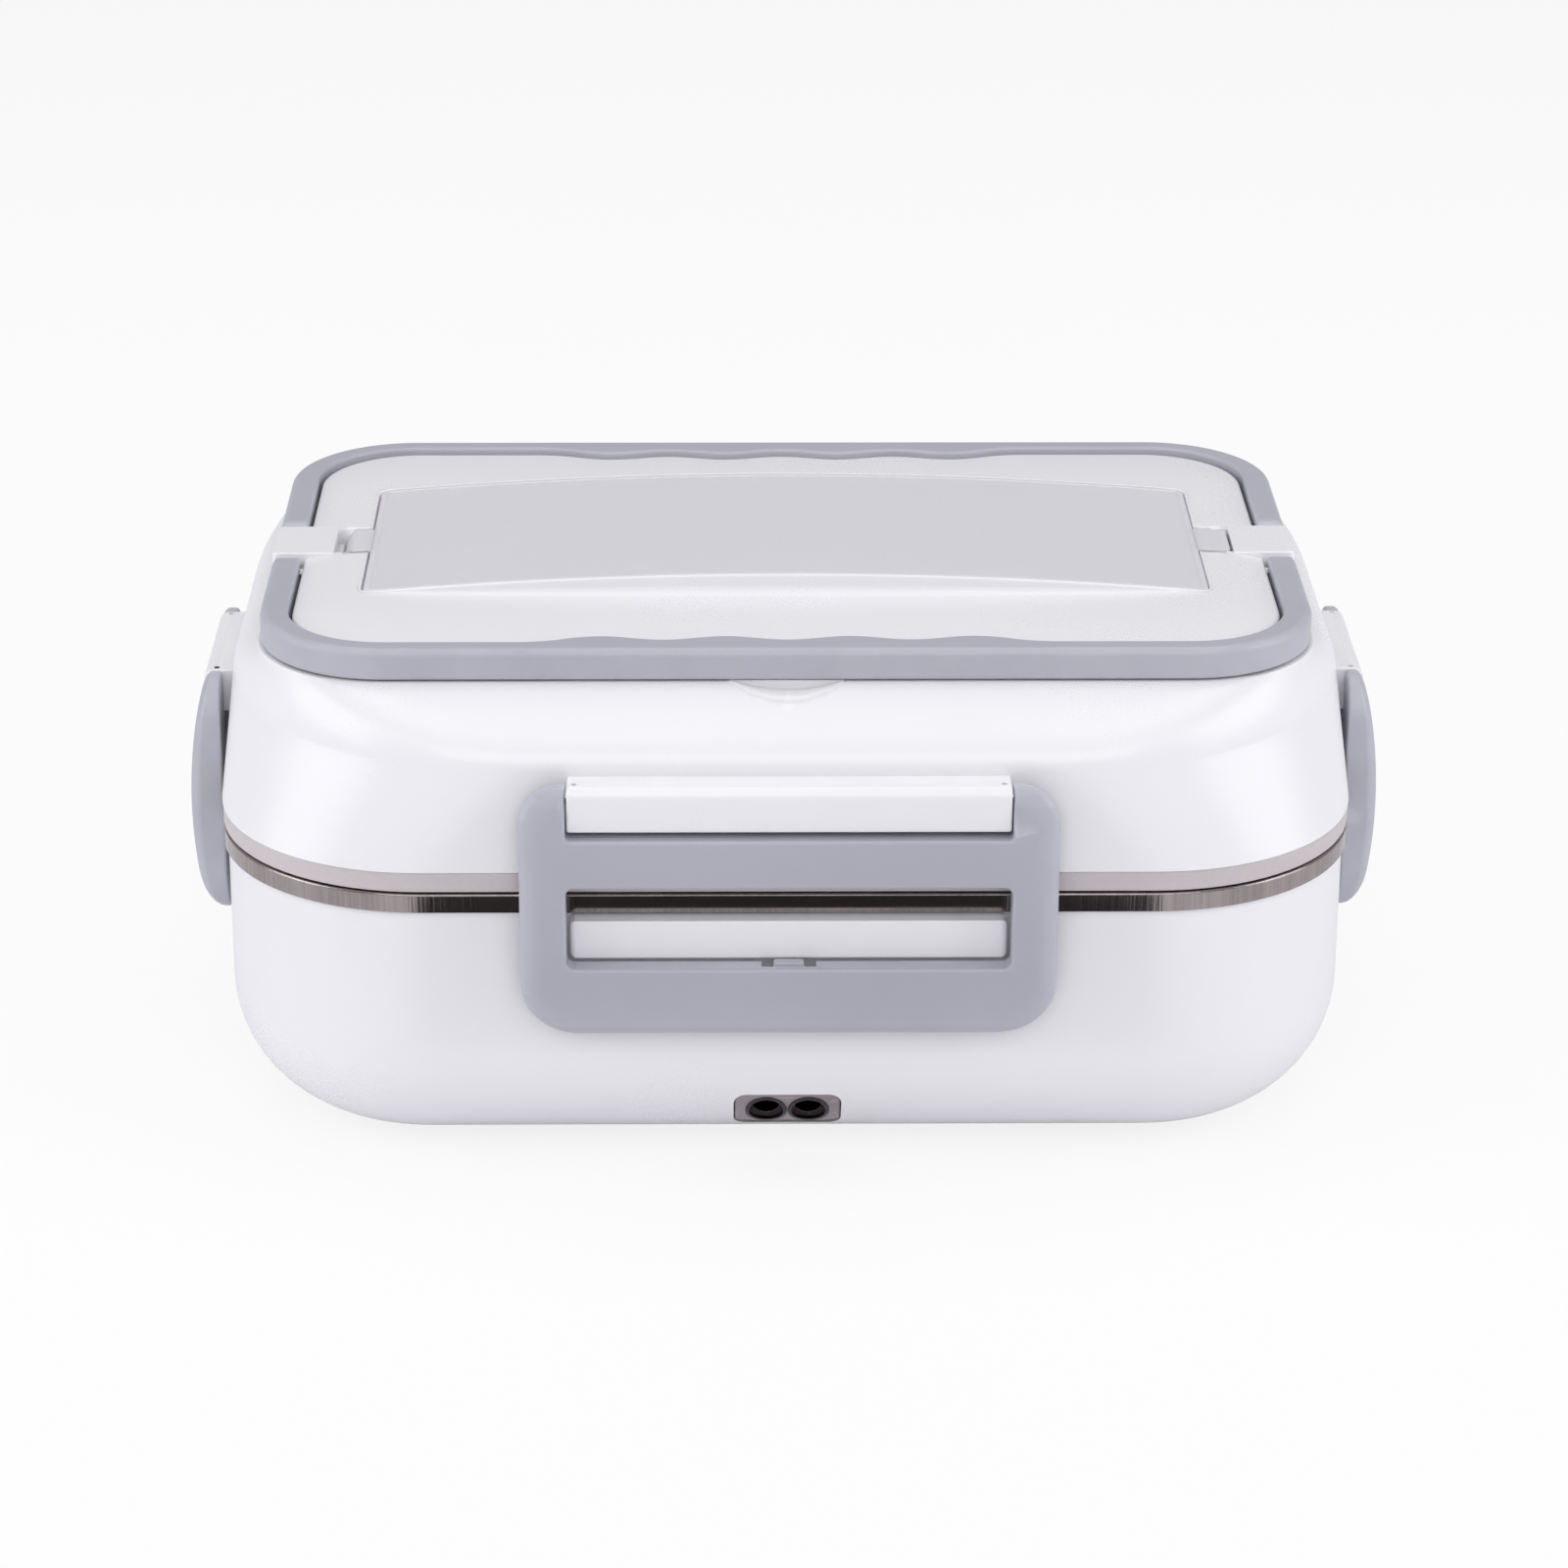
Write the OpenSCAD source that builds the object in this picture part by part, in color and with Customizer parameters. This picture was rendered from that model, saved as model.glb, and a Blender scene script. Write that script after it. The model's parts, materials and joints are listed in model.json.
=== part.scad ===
// Electric lunch box: a heated base, a lift-out steel container and a lift-off lid with four
// hinged latches, two swing-up carrying handles and a hinged cover over its cutlery tray.
// Origin: centre of the foot plane, +Z up, front (mains inlet) towards -Y.

/* [Base] */
// Width of the base body
body_w = 230; // [216:1:270]
// Depth of the base body
body_d = 170; // [160:1:210]
// Height of the base from its underside to its rim
base_h = 58; // [54:1:70]
// Corner radius of the base in plan
corner_r = 42; // [36:1:44]
// Radius that rounds the wall into the underside
base_fillet = 28; // [22:1:30]
// Thickness of the outer base wall
base_wall = 2.5; // [2:0.1:3]
// Height of the rubber feet below the underside
foot_h = 1.5; // [1:0.1:3]
// Radius of a rubber foot
foot_r = 7.5; // [6:0.5:9]
// Distance of the feet from the body sides
foot_inset_x = 43; // [40:1:50]
// Distance of the feet from the body front and back
foot_inset_y = 43; // [40:1:50]

/* [Heated well] */
// Gap between the outer wall and the well
well_gap = 3.5; // [3:0.1:5]
// Thickness of the well
well_wall = 2; // [1.6:0.1:2.4]
// Height of the well floor's underside above the base's underside
well_floor_h = 18.5; // [18:0.5:22]
// Thickness of the lip that lies in the outer wall's rebate
well_lip_t = 1.6; // [1.2:0.1:2]
// Height of the ridge that carries the container
ridge_h = 3.3; // [3:0.1:4.4]
// Length of the heating plate
plate_w = 130; // [124:1:150]
// Depth of the heating plate
plate_d = 74; // [70:1:90]
// Thickness of the heating plate
plate_t = 1.2; // [1:0.1:2]
// Thickness of the plate's sealing ring
plate_seal_t = 0.8; // [0.6:0.1:1.2]

/* [Container] */
// Gap between the container and the well
container_gap = 1; // [0.6:0.1:1.6]
// Sheet thickness of the container
sheet_t = 0.6; // [0.5:0.1:1]
// Radius at the container's floor
container_fillet = 14; // [10:1:18]
// How far the steel skirt stands proud of the base wall
skirt_proud = 0.9; // [0.7:0.1:1]
// Depth of the turned-down steel skirt
skirt_h = 4.1; // [3:0.1:4.4]

/* [Lid] */
// Height of the visible silicone band
seal_band_h = 4.1; // [3:0.1:5]
// Gap between the steel rim and the silicone band
seal_gap = 0.4; // [0.3:0.1:1]
// How far the lid edge stands proud of the base wall
lid_proud = 1; // [0.8:0.1:1.2]
// Height of the lid's near upright band
lid_band_h = 21.3; // [20:0.1:24]
// How far the band draws in by its top at the sides
band_draw_x = 1.5; // [0.5:0.1:2]
// How far the band draws in by its top at the front and back
band_draw_y = 1.6; // [1:0.1:2]
// Extra corner radius at the top of the band
crease_soft = 17; // [0:0.5:18]
// Height of the rounded shoulder above the band
shoulder_h = 11.5; // [10:0.5:16]
// Sweep of the shoulder's arc in degrees
shoulder_sweep = 35; // [30:1:80]
// Wall thickness of the lid
lid_wall = 2.4; // [2:0.1:2.8]
// Height of the lid's top face above the handle ledge
plateau_h = 5.6; // [5:0.1:7]

/* [Handles] */
// Distance of the handle ring from the body sides
ring_inset_x = 7.9; // [7:0.1:10]
// Distance of the handle ring from the body front and back
ring_inset_y = 19.2; // [17:0.1:22]
// Corner radius of the handle ring
ring_r = 26; // [22:1:30]
// Height of the handle ring
ring_h = 6.6; // [6:0.1:8]
// Width of the handle arms
arm_w = 5.8; // [5.6:0.1:8]
// Width of the plain part of the handle bars
bar_w = 5; // [4.5:0.1:6]
// Extra width of the bar along the finger grips
grip_base = 1.2; // [0.8:0.1:1.6]
// Height of the finger bumps
grip_bump = 2; // [1:0.1:2.4]
// Distance from one finger bump to the next
grip_pitch = 24.9; // [20:0.1:28]
// Length of the lid tab between the two handles
tab_len = 17; // [16:0.5:24]
// Radius of a handle pivot pin
handle_pin_r = 1.25; // [1:0.05:1.4]
// Handle gap to the lid
handle_gap = 0.5; // [0.4:0.1:0.7]

/* [Cutlery tray] */
// Distance of the cover's ends from the body sides
cover_inset_x = 28; // [27:0.5:36]
// Distance of the cover's long edges from the body front and back
cover_inset_y = 53.3; // [50:0.5:58]
// How far the cover arches up in the middle
cover_rise = 3.8; // [2:0.1:5]
// Thickness of the cover
cover_t = 2; // [1.6:0.1:2.4]
// Corner radius of the cover
cover_r = 3; // [3:0.5:8]
// Width of the rim around the cover
cover_rim = 1; // [0.8:0.1:2]
// Depth of the cutlery tray below the lid's top face
tray_h = 20; // [16:0.5:24]
// Width of the cover's hinge tongue and finger tab
tongue_w = 13; // [10:0.5:16]
// Radius of the cover's hinge pin
cover_pin_r = 0.8; // [0.6:0.05:1]

/* [Latches] */
// Overall width of the front and rear latches
long_latch_w = 106.4; // [90:0.1:112]
// Overall width of the side latches
side_latch_w = 54.4; // [48:0.1:56]
// Width of each latch post
post_w = 9.2; // [8:0.1:10]
// Height of the latch hinge above the base rim
hinge_h = 26; // [25.5:0.1:27]
// Distance of the latch hinge from the base wall plane
hinge_out = 3.6; // [3.5:0.05:4]
// How much lower the side latches sit than the front and rear ones
side_drop = 3.2; // [0:0.1:4]
// How much farther out the side latches sit
side_out = 0.5; // [0:0.1:0.8]
// Radius of the rounded latch post top
post_r = 2.6; // [2.5:0.05:3]
// Radius of a latch hinge pin
latch_pin_r = 1.1; // [0.9:0.05:1.2]
// Height of the hinge block below its pin
block_drop = 6.6; // [6:0.1:8]
// Top of the upper crossbar above the base rim
crossbar_top = 18.2; // [17:0.1:18.5]
// Top of the window above the base rim
window_top = 8.5; // [7.6:0.1:9]
// Bottom of the window below the base rim
window_bottom = 8.9; // [8.8:0.1:10]
// Lower end of the latch below the base rim
latch_bottom = 25.2; // [21:0.1:26]
// Farthest distance of the latch face from the base wall plane
latch_out = 9.35; // [8.6:0.05:10]
// Radius that bows the latch face
latch_bow = 110; // [90:1:160]
// Radius at the latch's lower lip
lip_r = 6; // [5:0.1:6.5]
// Radius of the latch's lower corners
latch_corner_r = 12; // [8:0.5:13]
// Clearance between the latches and the catches
latch_gap = 0.35; // [0.3:0.05:0.5]
// Height of a catch
catch_h = 8.1; // [7:0.1:8.1]
// How far a catch stands out from the base wall
catch_out = 4.3; // [3.8:0.05:4.6]
// Width of the snap tongue in the lower crossbar
snap_w = 6.1; // [4:0.1:7]

/* [Mains inlet] */
// Width of the inlet
inlet_w = 21.5; // [20:0.1:24]
// Height of the inlet
inlet_h = 10.2; // [9:0.1:10.6]
// Height of the inlet's centre above the base's underside
inlet_z = 10.6; // [10.2:0.1:11]
// Distance between the two contact pins
pin_pitch = 8.6; // [8.4:0.1:9]
// Radius of a contact pin
contact_r = 1.2; // [1:0.05:1.3]
// Radius of the well around a contact pin
socket_r = 3.6; // [3.3:0.05:3.8]
// Depth of the sockets' floor behind the body front
socket_floor = 24; // [23:0.5:26]
// Free length of a contact pin
pin_reach = 9; // [8:0.5:10]

/* [Hidden] */
$fn = 96;

// Clearances
eps = 0.01;                // thickness of the outlines that a rounded form is drawn over
run_fit = 0.05;            // radial clearance of a pin in the bore it turns in
seat = 0.1;                // play of a piece that lies on its seat
side_play = 0.3;           // play between neighbouring pieces that move past each other

// Half sizes of the body, and the main levels
half_w = body_w / 2;
half_d = body_d / 2;
under_z = foot_h;
rim_z = under_z + base_h;
well_z = under_z + well_floor_h;
well_floor_z = well_z + well_wall;
plate_z = well_floor_z + plate_seal_t;
container_z = plate_z + plate_t + side_play;
flange_z = rim_z + ridge_h + seat;
flange_top = flange_z + sheet_t;
band_z = flange_top + seal_gap;
lid_z = band_z + seal_band_h;
crease_z = lid_z + lid_band_h;
ledge_z = crease_z + shoulder_h;
plateau_z = ledge_z + plateau_h;
ring_z = ledge_z + side_play;
ring_top = ring_z + ring_h;

// Plan sizes of the well and the container
tub_inset = base_wall + well_gap;
bore_inset = tub_inset + well_wall;
can_inset = bore_inset + container_gap;
tub_fillet = container_fillet + container_gap + well_wall;
rebate_in = 1.2;
ridge_in = 1.6;
window_w = plate_w - 40;
window_d = plate_d - 24;

// Feet and the screws behind them
foot_x = half_w - foot_inset_x;
foot_y = half_d - foot_inset_y;
foot_recess = 0.7;
post_bore = 3.4;
post_outer = 5.4;
screw_seat = 6.5;
screw_r = 1.5;
screw_head_r = 2.9;
screw_head_h = 1.8;
tub_boss_r = 4;
tub_boss_h = 4;

// Heater parts
ptc_w = 60;
ptc_d = 26;
ptc_h = 6;
ptc_y = 9;
ptc_tab_w = 4;
ptc_tab_t = 0.8;
fuse_tab_x = 9;
mains_tab_x = 20;
tab_y = ptc_y - ptc_d / 2 - 3;
tab_z = plate_z - ptc_h + 1.4;
clamp_t = 1.2;
clamp_d = 16;
clamp_hole_x = window_w / 2 + 8;
clamp_z = plate_z - ptc_h - clamp_t;
clamp_screw_r = 1.4;
thermostat_x = -window_w / 2 + 11;
thermostat_y = -window_d / 2 + 11;
thermostat_r = 7.5;
thermostat_h = 8;
terminal_w = 3;
terminal_h = 2;
terminal_pitch = 5;
terminal_z = plate_z - thermostat_h - terminal_h;
fuse_x = -2;
fuse_len = 12;
fuse_r = 2;
fuse_z = plate_z - fuse_r - seat;
lead_r = 1.1;
lead_drop = terminal_z - 3.4;
lead_out = 6;              // straight run behind the inlet's terminals
live_run = 13;             // run of the live lead along the thermostat
neutral_run = 8;           // run of the neutral lead up to the heater's tab
link_side = 4;             // side step of the link lead round the thermostat
link_dip = 3;              // extra depth of that step
link_end = 7;              // distance of the rise from the fuse's end

// Inlet places
inlet_cz = under_z + inlet_z;
inlet_corner = 2.4;
inlet_back = socket_floor + 7;
inlet_flange_y = -half_d + socket_floor - 1;
inlet_flange_t = 2;
inlet_ear_x = inlet_w / 2 + 6;
inlet_ear_r = 4;
inlet_screw_r = 1.2;
inlet_screw_len = 8;
pin_tip = 0.8;
shank_r = contact_r + 0.3;
terminal_len = inlet_back - socket_floor + 2;
terminal_y = -half_d + inlet_back + 2;

// Lid outlines
lid_r = corner_r + lid_proud;
ring_hw = half_w - ring_inset_x;
ring_hd = half_d - ring_inset_y;
shoulder_steps = 6;
inner_r = ring_r - arm_w;
grip_end = 2 * grip_pitch + 4;
grip_fade = 11;
liner_t = 2.4;
liner_play = 0.6;
liner_soft = 3;            // extra corner radius that clears the band's drawn-in corners
liner_lip_h = 6;
liner_lip_t = 2;
seal_lip_w = 6;
seal_lip_h = seal_gap - 0.2;

scoop_hw = 11;             // half width of the thumb hollow
scoop_h = 1.9;             // its depth below the ledge
scoop_pad = 7;             // depth of the thickening behind it

// Handle pivots
pivot_y = tab_len / 2 + 0.4 + ring_h / 2;
pivot_z = ring_z + ring_h / 2;
arm_in = ring_hw - arm_w;
handle_pin_len = 12;
handle_pin_out = arm_w - 1.8;
tab_in = 13;

// Cutlery cover
cover_hw = half_w - cover_inset_x;
cover_hd = half_d - cover_inset_y;
arch_r = (cover_hw * cover_hw + cover_rise * cover_rise) / (2 * cover_rise);
arch_cz = ring_top + cover_rise - arch_r;
tray_wall = 2;
tray_inset = 5;
cover_pin_x = -cover_hw - 4;
cover_pin_z = ring_top - 2.8;
knuckle_r = cover_pin_r + 0.8;
slot_len = 9.3;
slot_lap = 0.8;
slot_depth = 6;
cover_pin_len = tongue_w + 6;
cover_play = 0.15;
end_gap = 0.5;
end_chamfer = 1.5;
end_soft = 1.2;            // extra corner radius that clears the frame as the cover swings up
root_len = 2.5;
root_rise = 0.35;
tab_reach = 7;

// Latch section
catch_room = 1.2;
catch_r = 1.2;
catch_drop = 0.4;          // distance of a catch's top below the rim
notch_w = 2.4;
notch_face = 2;            // thickness of the crossbar's face in front of a notch
notch_depth = 2;
snap_rise = 0.6;           // height of the snap tongue above the crossbar
latch_in = 2.25;           // distance of a latch's posts from the base wall
sight_in = 1.5;            // distance of the sight holes from the block's ends
sight_r = 0.6;
hinge_z = rim_z + hinge_h;
catch_clear = catch_out + latch_gap;
pin_stub = post_w - 4.2;
post_corner_r = post_w - 0.7;
bevel_in = 3;
bevel_out = 2.4;

function mix(a, b, t) = a + (b - a) * t;
function fade(t) = t < 0 ? 1 : t > 1 ? 0 : 1 - t * t * (3 - 2 * t);

// Width of a handle bar at a distance x from its middle
function bar_at(x) =
    let (d = abs(x), bump = 0.5 + 0.5 * cos(360 * (d - grip_pitch / 2) / grip_pitch))
    bar_w + (grip_base + grip_bump * bump) * fade((d - grip_end + grip_fade) / grip_fade);

// Quarter turn of points about (cx, cy), starting at a0 degrees
function arc_points(cx, cy, r, a0, n = 10) =
    [for (i = [0:n]) [cx + r * cos(a0 + 90 * i / n), cy + r * sin(a0 + 90 * i / n)]];

// Front edge of the handle opening, from left to right, for a clearance g
function grip_points(g) =
    [for (x = [-grip_end:grip_end / 20:grip_end]) [x, -(ring_hd - bar_at(x) - g)]];

// Inner outline of the handle ring, drawn in by a clearance g
function opening_points(g) =
    let (hx = arm_in - g, hy = ring_hd - bar_w - g, front = grip_points(g))
    concat(
        front,
        arc_points(hx - inner_r, -hy + inner_r, inner_r, -90),
        arc_points(hx - inner_r, hy - inner_r, inner_r, 0),
        [for (p = front) [-p[0], -p[1]]],
        arc_points(-hx + inner_r, hy - inner_r, inner_r, 90),
        arc_points(-hx + inner_r, -hy + inner_r, inner_r, 180)
    );

// Rounded rectangle with true arcs
module outline(hw, hd, r) {
    square([2 * hw, 2 * (hd - r)], center = true);
    square([2 * (hw - r), 2 * hd], center = true);
    for (sx = [-1, 1], sy = [-1, 1])
        translate([sx * (hw - r), sy * (hd - r)]) circle(r);
}

module slab(hw, hd, r, z0, z1) {
    translate([0, 0, z0]) linear_extrude(z1 - z0) outline(hw, hd, r);
}

// Half section of a wall whose foot is rounded by f
module foot_section(r, f, h) {
    translate([0, f]) square([r, h - f]);
    square([r - f, f]);
    intersection() {
        translate([r - f, f]) circle(f);
        translate([r - f, 0]) square([f, f]);
    }
}

// Solid tub with rounded corners and a rounded foot
module bowl(hw, hd, r, f, h) {
    corners = [[1, 1, 0], [-1, 1, 90], [-1, -1, 180], [1, -1, 270]];
    for (c = corners)
        translate([c[0] * (hw - r), c[1] * (hd - r), 0]) rotate([0, 0, c[2]])
            rotate_extrude(angle = 90) foot_section(r, f, h);
    for (a = [0, 180]) rotate([0, 0, a]) translate([hw - r, 0, 0]) rotate([90, 0, 0])
        linear_extrude(2 * (hd - r), center = true) foot_section(r, f, h);
    for (a = [90, 270]) rotate([0, 0, a]) translate([hd - r, 0, 0]) rotate([90, 0, 0])
        linear_extrude(2 * (hw - r), center = true) foot_section(r, f, h);
    translate([-(hw - r), -(hd - r), 0]) cube([2 * (hw - r), 2 * (hd - r), h]);
}

// Section drawn as (distance out from the wall, height), run along the wall
module along_wall(len) {
    rotate([90, 0, -90]) linear_extrude(len, center = true) children();
}

// Places a piece drawn for the front wall on any side of the body
module on_side(side) {
    turn = side == "front" ? 0 : side == "rear" ? 180 : side == "left" ? -90 : 90;
    out = is_long(side) ? half_d : half_w + side_out;
    rotate([0, 0, turn]) translate([0, -out, is_long(side) ? 0 : -side_drop]) children();
}

function is_long(side) = side == "front" || side == "rear";
function latch_w(side) = is_long(side) ? long_latch_w : side_latch_w;
function block_w(side) = latch_w(side) - 2 * post_w - 2 * side_play;
SIDES = ["front", "rear", "left", "right"];

// Outer form of the base, from its underside up to height h
module base_form(inset, h) {
    bowl(half_w - inset, half_d - inset, corner_r - inset, base_fillet - inset, h);
}

module base_shell() {
    color("whitesmoke") difference() {
        union() {
            difference() {
                translate([0, 0, under_z]) base_form(0, base_h);
                translate([0, 0, under_z + base_wall]) base_form(base_wall, base_h);
            }
            for (sx = [-1, 1], sy = [-1, 1])
                translate([sx * foot_x, sy * foot_y, under_z + base_wall / 2])
                    cylinder(r = post_outer, h = well_z - tub_boss_h - under_z - base_wall / 2);
            intersection() {
                for (sx = [-1, 1])
                    translate([sx * inlet_ear_x, inlet_flange_y, inlet_cz]) rotate([90, 0, 0])
                        cylinder(r = inlet_screw_r + 1.8, h = socket_floor);
                translate([0, 0, under_z]) base_form(base_wall / 2, base_h / 2);
            }
            for (side = SIDES) on_side(side) catch_bar(latch_w(side) - 2 * post_w - catch_room);
        }
        tub_slab(rebate_in, rim_z - well_lip_t, rim_z + 1);
        for (sx = [-1, 1], sy = [-1, 1]) translate([sx * foot_x, sy * foot_y, under_z]) {
            translate([0, 0, -eps]) cylinder(r = foot_r + 0.2, h = foot_recess + eps);
            cylinder(r = post_bore, h = screw_seat);
            cylinder(r = screw_r + 0.2, h = well_floor_h);
        }
        translate([0, -half_d, inlet_cz]) rotate([90, 0, 0])
            linear_extrude(2 * base_fillet, center = true)
                outline(inlet_w / 2 + 0.2, inlet_h / 2 + 0.2, inlet_corner + 0.2);
        for (sx = [-1, 1]) translate([sx * inlet_ear_x, inlet_flange_y + 1, inlet_cz])
            rotate([90, 0, 0]) cylinder(r = inlet_screw_r + run_fit, h = inlet_screw_len + 1.4);
    }
}

// Bar on the base wall that a latch closes over
module catch_bar(w) {
    translate([0, 0, rim_z - catch_drop - catch_h / 2]) rotate([90, 0, 0])
        translate([0, 0, -base_wall / 2]) linear_extrude(base_wall / 2 + catch_out)
            outline(w / 2, catch_h / 2, catch_r);
}

module inner_tub() {
    depth = rim_z - well_z;
    color("gainsboro") difference() {
        union() {
            translate([0, 0, well_z]) tub_form(tub_inset, tub_fillet, depth);
            tub_slab(rebate_in + seat, rim_z - well_lip_t, rim_z);
            tub_slab(ridge_in, rim_z - eps, rim_z + ridge_h);
            for (sx = [-1, 1], sy = [-1, 1])
                translate([sx * foot_x, sy * foot_y, well_z - tub_boss_h])
                    cylinder(r = tub_boss_r, h = tub_boss_h + well_wall / 2);
            for (sx = [-1, 1]) translate([sx * clamp_hole_x, ptc_y, clamp_z + clamp_t])
                cylinder(r = 3.4, h = well_z - clamp_z - clamp_t + well_wall / 2);
        }
        translate([0, 0, well_floor_z])
            tub_form(bore_inset, tub_fillet - well_wall, depth + ridge_h + 1);
        translate([-window_w / 2, -window_d / 2, well_z - 1]) cube([window_w, window_d, 9]);
        for (sx = [-1, 1], sy = [-1, 1])
            translate([sx * foot_x, sy * foot_y, well_z - tub_boss_h - 1])
                cylinder(r = screw_r + run_fit, h = tub_boss_h + 1.6);
        for (sx = [-1, 1]) translate([sx * clamp_hole_x, ptc_y, clamp_z])
            cylinder(r = clamp_screw_r + run_fit, h = well_z - clamp_z + 0.8);
    }
}

module tub_form(inset, fillet, h) {
    bowl(half_w - inset, half_d - inset, corner_r - inset, fillet, h);
}

module heating_plate() {
    color("silver") slab(plate_w / 2, plate_d / 2, 8, plate_z, plate_z + plate_t);
}

module plate_seal() {
    color("dimgray") difference() {
        slab(plate_w / 2 - 2, plate_d / 2 - 2, 7, well_floor_z, plate_z);
        slab(plate_w / 2 - 8, plate_d / 2 - 8, 3, well_floor_z - 1, plate_z + 1);
    }
}

module ptc_heater() {
    color("goldenrod") {
        translate([-ptc_w / 2, ptc_y - ptc_d / 2, plate_z - ptc_h]) cube([ptc_w, ptc_d, ptc_h]);
        for (x = [fuse_tab_x, mains_tab_x])
            translate([x - ptc_tab_w / 2, tab_y - 2, tab_z]) cube([ptc_tab_w, 6, ptc_tab_t]);
    }
}

module heater_clamp() {
    color("lightsteelblue") difference() {
        translate([0, ptc_y, clamp_z]) linear_extrude(clamp_t)
            outline(clamp_hole_x + 6, clamp_d / 2, 4);
        for (sx = [-1, 1]) translate([sx * clamp_hole_x, ptc_y, clamp_z - 1])
            cylinder(r = clamp_screw_r + 0.2, h = clamp_t + 2);
    }
}

// Pan-head screw with a cross recess, pointing up, its head's seat at z = 0
module screw(r, len, head_r, head_h) {
    difference() {
        union() {
            cylinder(r = r, h = len);
            translate([0, 0, -head_h]) cylinder(r = head_r, h = head_h);
        }
        for (a = [0, 90]) rotate([0, 0, a])
            translate([-head_r * 0.6, -0.35, -head_h - 1]) cube([head_r * 1.2, 0.7, 2]);
    }
}

module clamp_screws() {
    color("silver") for (sx = [-1, 1]) translate([sx * clamp_hole_x, ptc_y, clamp_z])
        screw(clamp_screw_r, well_z - clamp_z + 0.4, 2.7, 1.6);
}

module thermostat() {
    color("peru") translate([thermostat_x, thermostat_y, plate_z]) {
        translate([0, 0, -thermostat_h]) cylinder(r = thermostat_r, h = thermostat_h);
        for (sx = [-1, 1])
            translate([sx * terminal_pitch - terminal_w / 2, -0.4, -thermostat_h - terminal_h])
                cube([terminal_w, 0.8, terminal_h + 1]);
    }
}

module thermal_fuse() {
    color("ivory") translate([fuse_x, thermostat_y, fuse_z]) rotate([0, 90, 0])
        cylinder(r = fuse_r, h = fuse_len, center = true);
}

module inlet_housing() {
    color("dimgray") difference() {
        union() {
            intersection() {
                translate([0, -half_d, inlet_cz]) rotate([90, 0, 0])
                    translate([0, 0, -inlet_back]) linear_extrude(inlet_back + 5)
                        outline(inlet_w / 2, inlet_h / 2, inlet_corner);
                translate([0, 0, under_z]) base_form(0, base_h / 2 + 8);
            }
            translate([0, inlet_flange_y, inlet_cz]) rotate([-90, 0, 0])
                linear_extrude(inlet_flange_t) outline(inlet_ear_x + inlet_ear_r, 5, 4);
        }
        for (sx = [-1, 1]) translate([sx * pin_pitch / 2, -half_d + socket_floor, inlet_cz])
            rotate([90, 0, 0]) cylinder(r = socket_r, h = socket_floor + 5);
        for (sx = [-1, 1]) translate([sx * pin_pitch / 2, -half_d, inlet_cz])
            rotate([-90, 0, 0]) cylinder(r = shank_r + run_fit, h = inlet_back + 2);
        for (sx = [-1, 1]) translate([sx * inlet_ear_x, inlet_flange_y - 1, inlet_cz])
            rotate([-90, 0, 0]) cylinder(r = inlet_screw_r + 0.2, h = inlet_flange_t + 2);
    }
}

module inlet_pins() {
    color("gold") for (sx = [-1, 1])
        translate([sx * pin_pitch / 2, -half_d + socket_floor - pin_reach, inlet_cz])
            rotate([-90, 0, 0]) {
                cylinder(r1 = contact_r - 0.5, r2 = contact_r, h = pin_tip);
                translate([0, 0, pin_tip]) cylinder(r = contact_r, h = pin_reach - pin_tip);
                translate([0, 0, pin_reach]) cylinder(r = shank_r, h = terminal_len);
            }
}

module inlet_screws() {
    color("silver") for (sx = [-1, 1])
        translate([sx * inlet_ear_x, inlet_flange_y + inlet_flange_t, inlet_cz])
            rotate([90, 0, 0]) screw(inlet_screw_r, inlet_screw_len, 2.4, 1.5);
}

// Insulated lead along straight runs with ball joints
module lead(points) {
    for (i = [0:len(points) - 2]) {
        a = points[i];
        d = points[i + 1] - a;
        translate(a) rotate([0, 0, atan2(d[1], d[0])]) rotate([0, acos(d[2] / norm(d)), 0])
            cylinder(r = lead_r, h = norm(d), $fn = 24);
        if (i > 0) translate(a) sphere(lead_r + 0.2, $fn = 24);
    }
}

module live_lead() {
    x = thermostat_x + terminal_pitch;
    color("firebrick") lead([
        [-pin_pitch / 2, terminal_y, inlet_cz],
        [-pin_pitch / 2, terminal_y + lead_out, inlet_cz],
        [x, thermostat_y - live_run, lead_drop],
        [x, thermostat_y, lead_drop],
        [x, thermostat_y, terminal_z]
    ]);
}

module neutral_lead() {
    color("royalblue") lead([
        [pin_pitch / 2, terminal_y, inlet_cz],
        [pin_pitch / 2, terminal_y + lead_out, inlet_cz],
        [mains_tab_x, tab_y - neutral_run, lead_drop],
        [mains_tab_x, tab_y, lead_drop],
        [mains_tab_x, tab_y, tab_z]
    ]);
}

module link_leads() {
    x = thermostat_x - terminal_pitch;
    left = fuse_x - fuse_len / 2;
    right = fuse_x + fuse_len / 2;
    color("white") {
        lead([
            [x, thermostat_y, terminal_z],
            [x, thermostat_y, lead_drop],
            [x, thermostat_y + link_side, lead_drop - link_dip],
            [left - link_end, thermostat_y + link_side, lead_drop - link_dip],
            [left - link_end, thermostat_y, lead_drop],
            [left - link_end, thermostat_y, fuse_z],
            [left, thermostat_y, fuse_z]
        ]);
        lead([
            [right, thermostat_y, fuse_z],
            [fuse_tab_x, thermostat_y, fuse_z],
            [fuse_tab_x, thermostat_y, lead_drop],
            [fuse_tab_x, tab_y, lead_drop],
            [fuse_tab_x, tab_y, tab_z]
        ]);
    }
}

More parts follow.
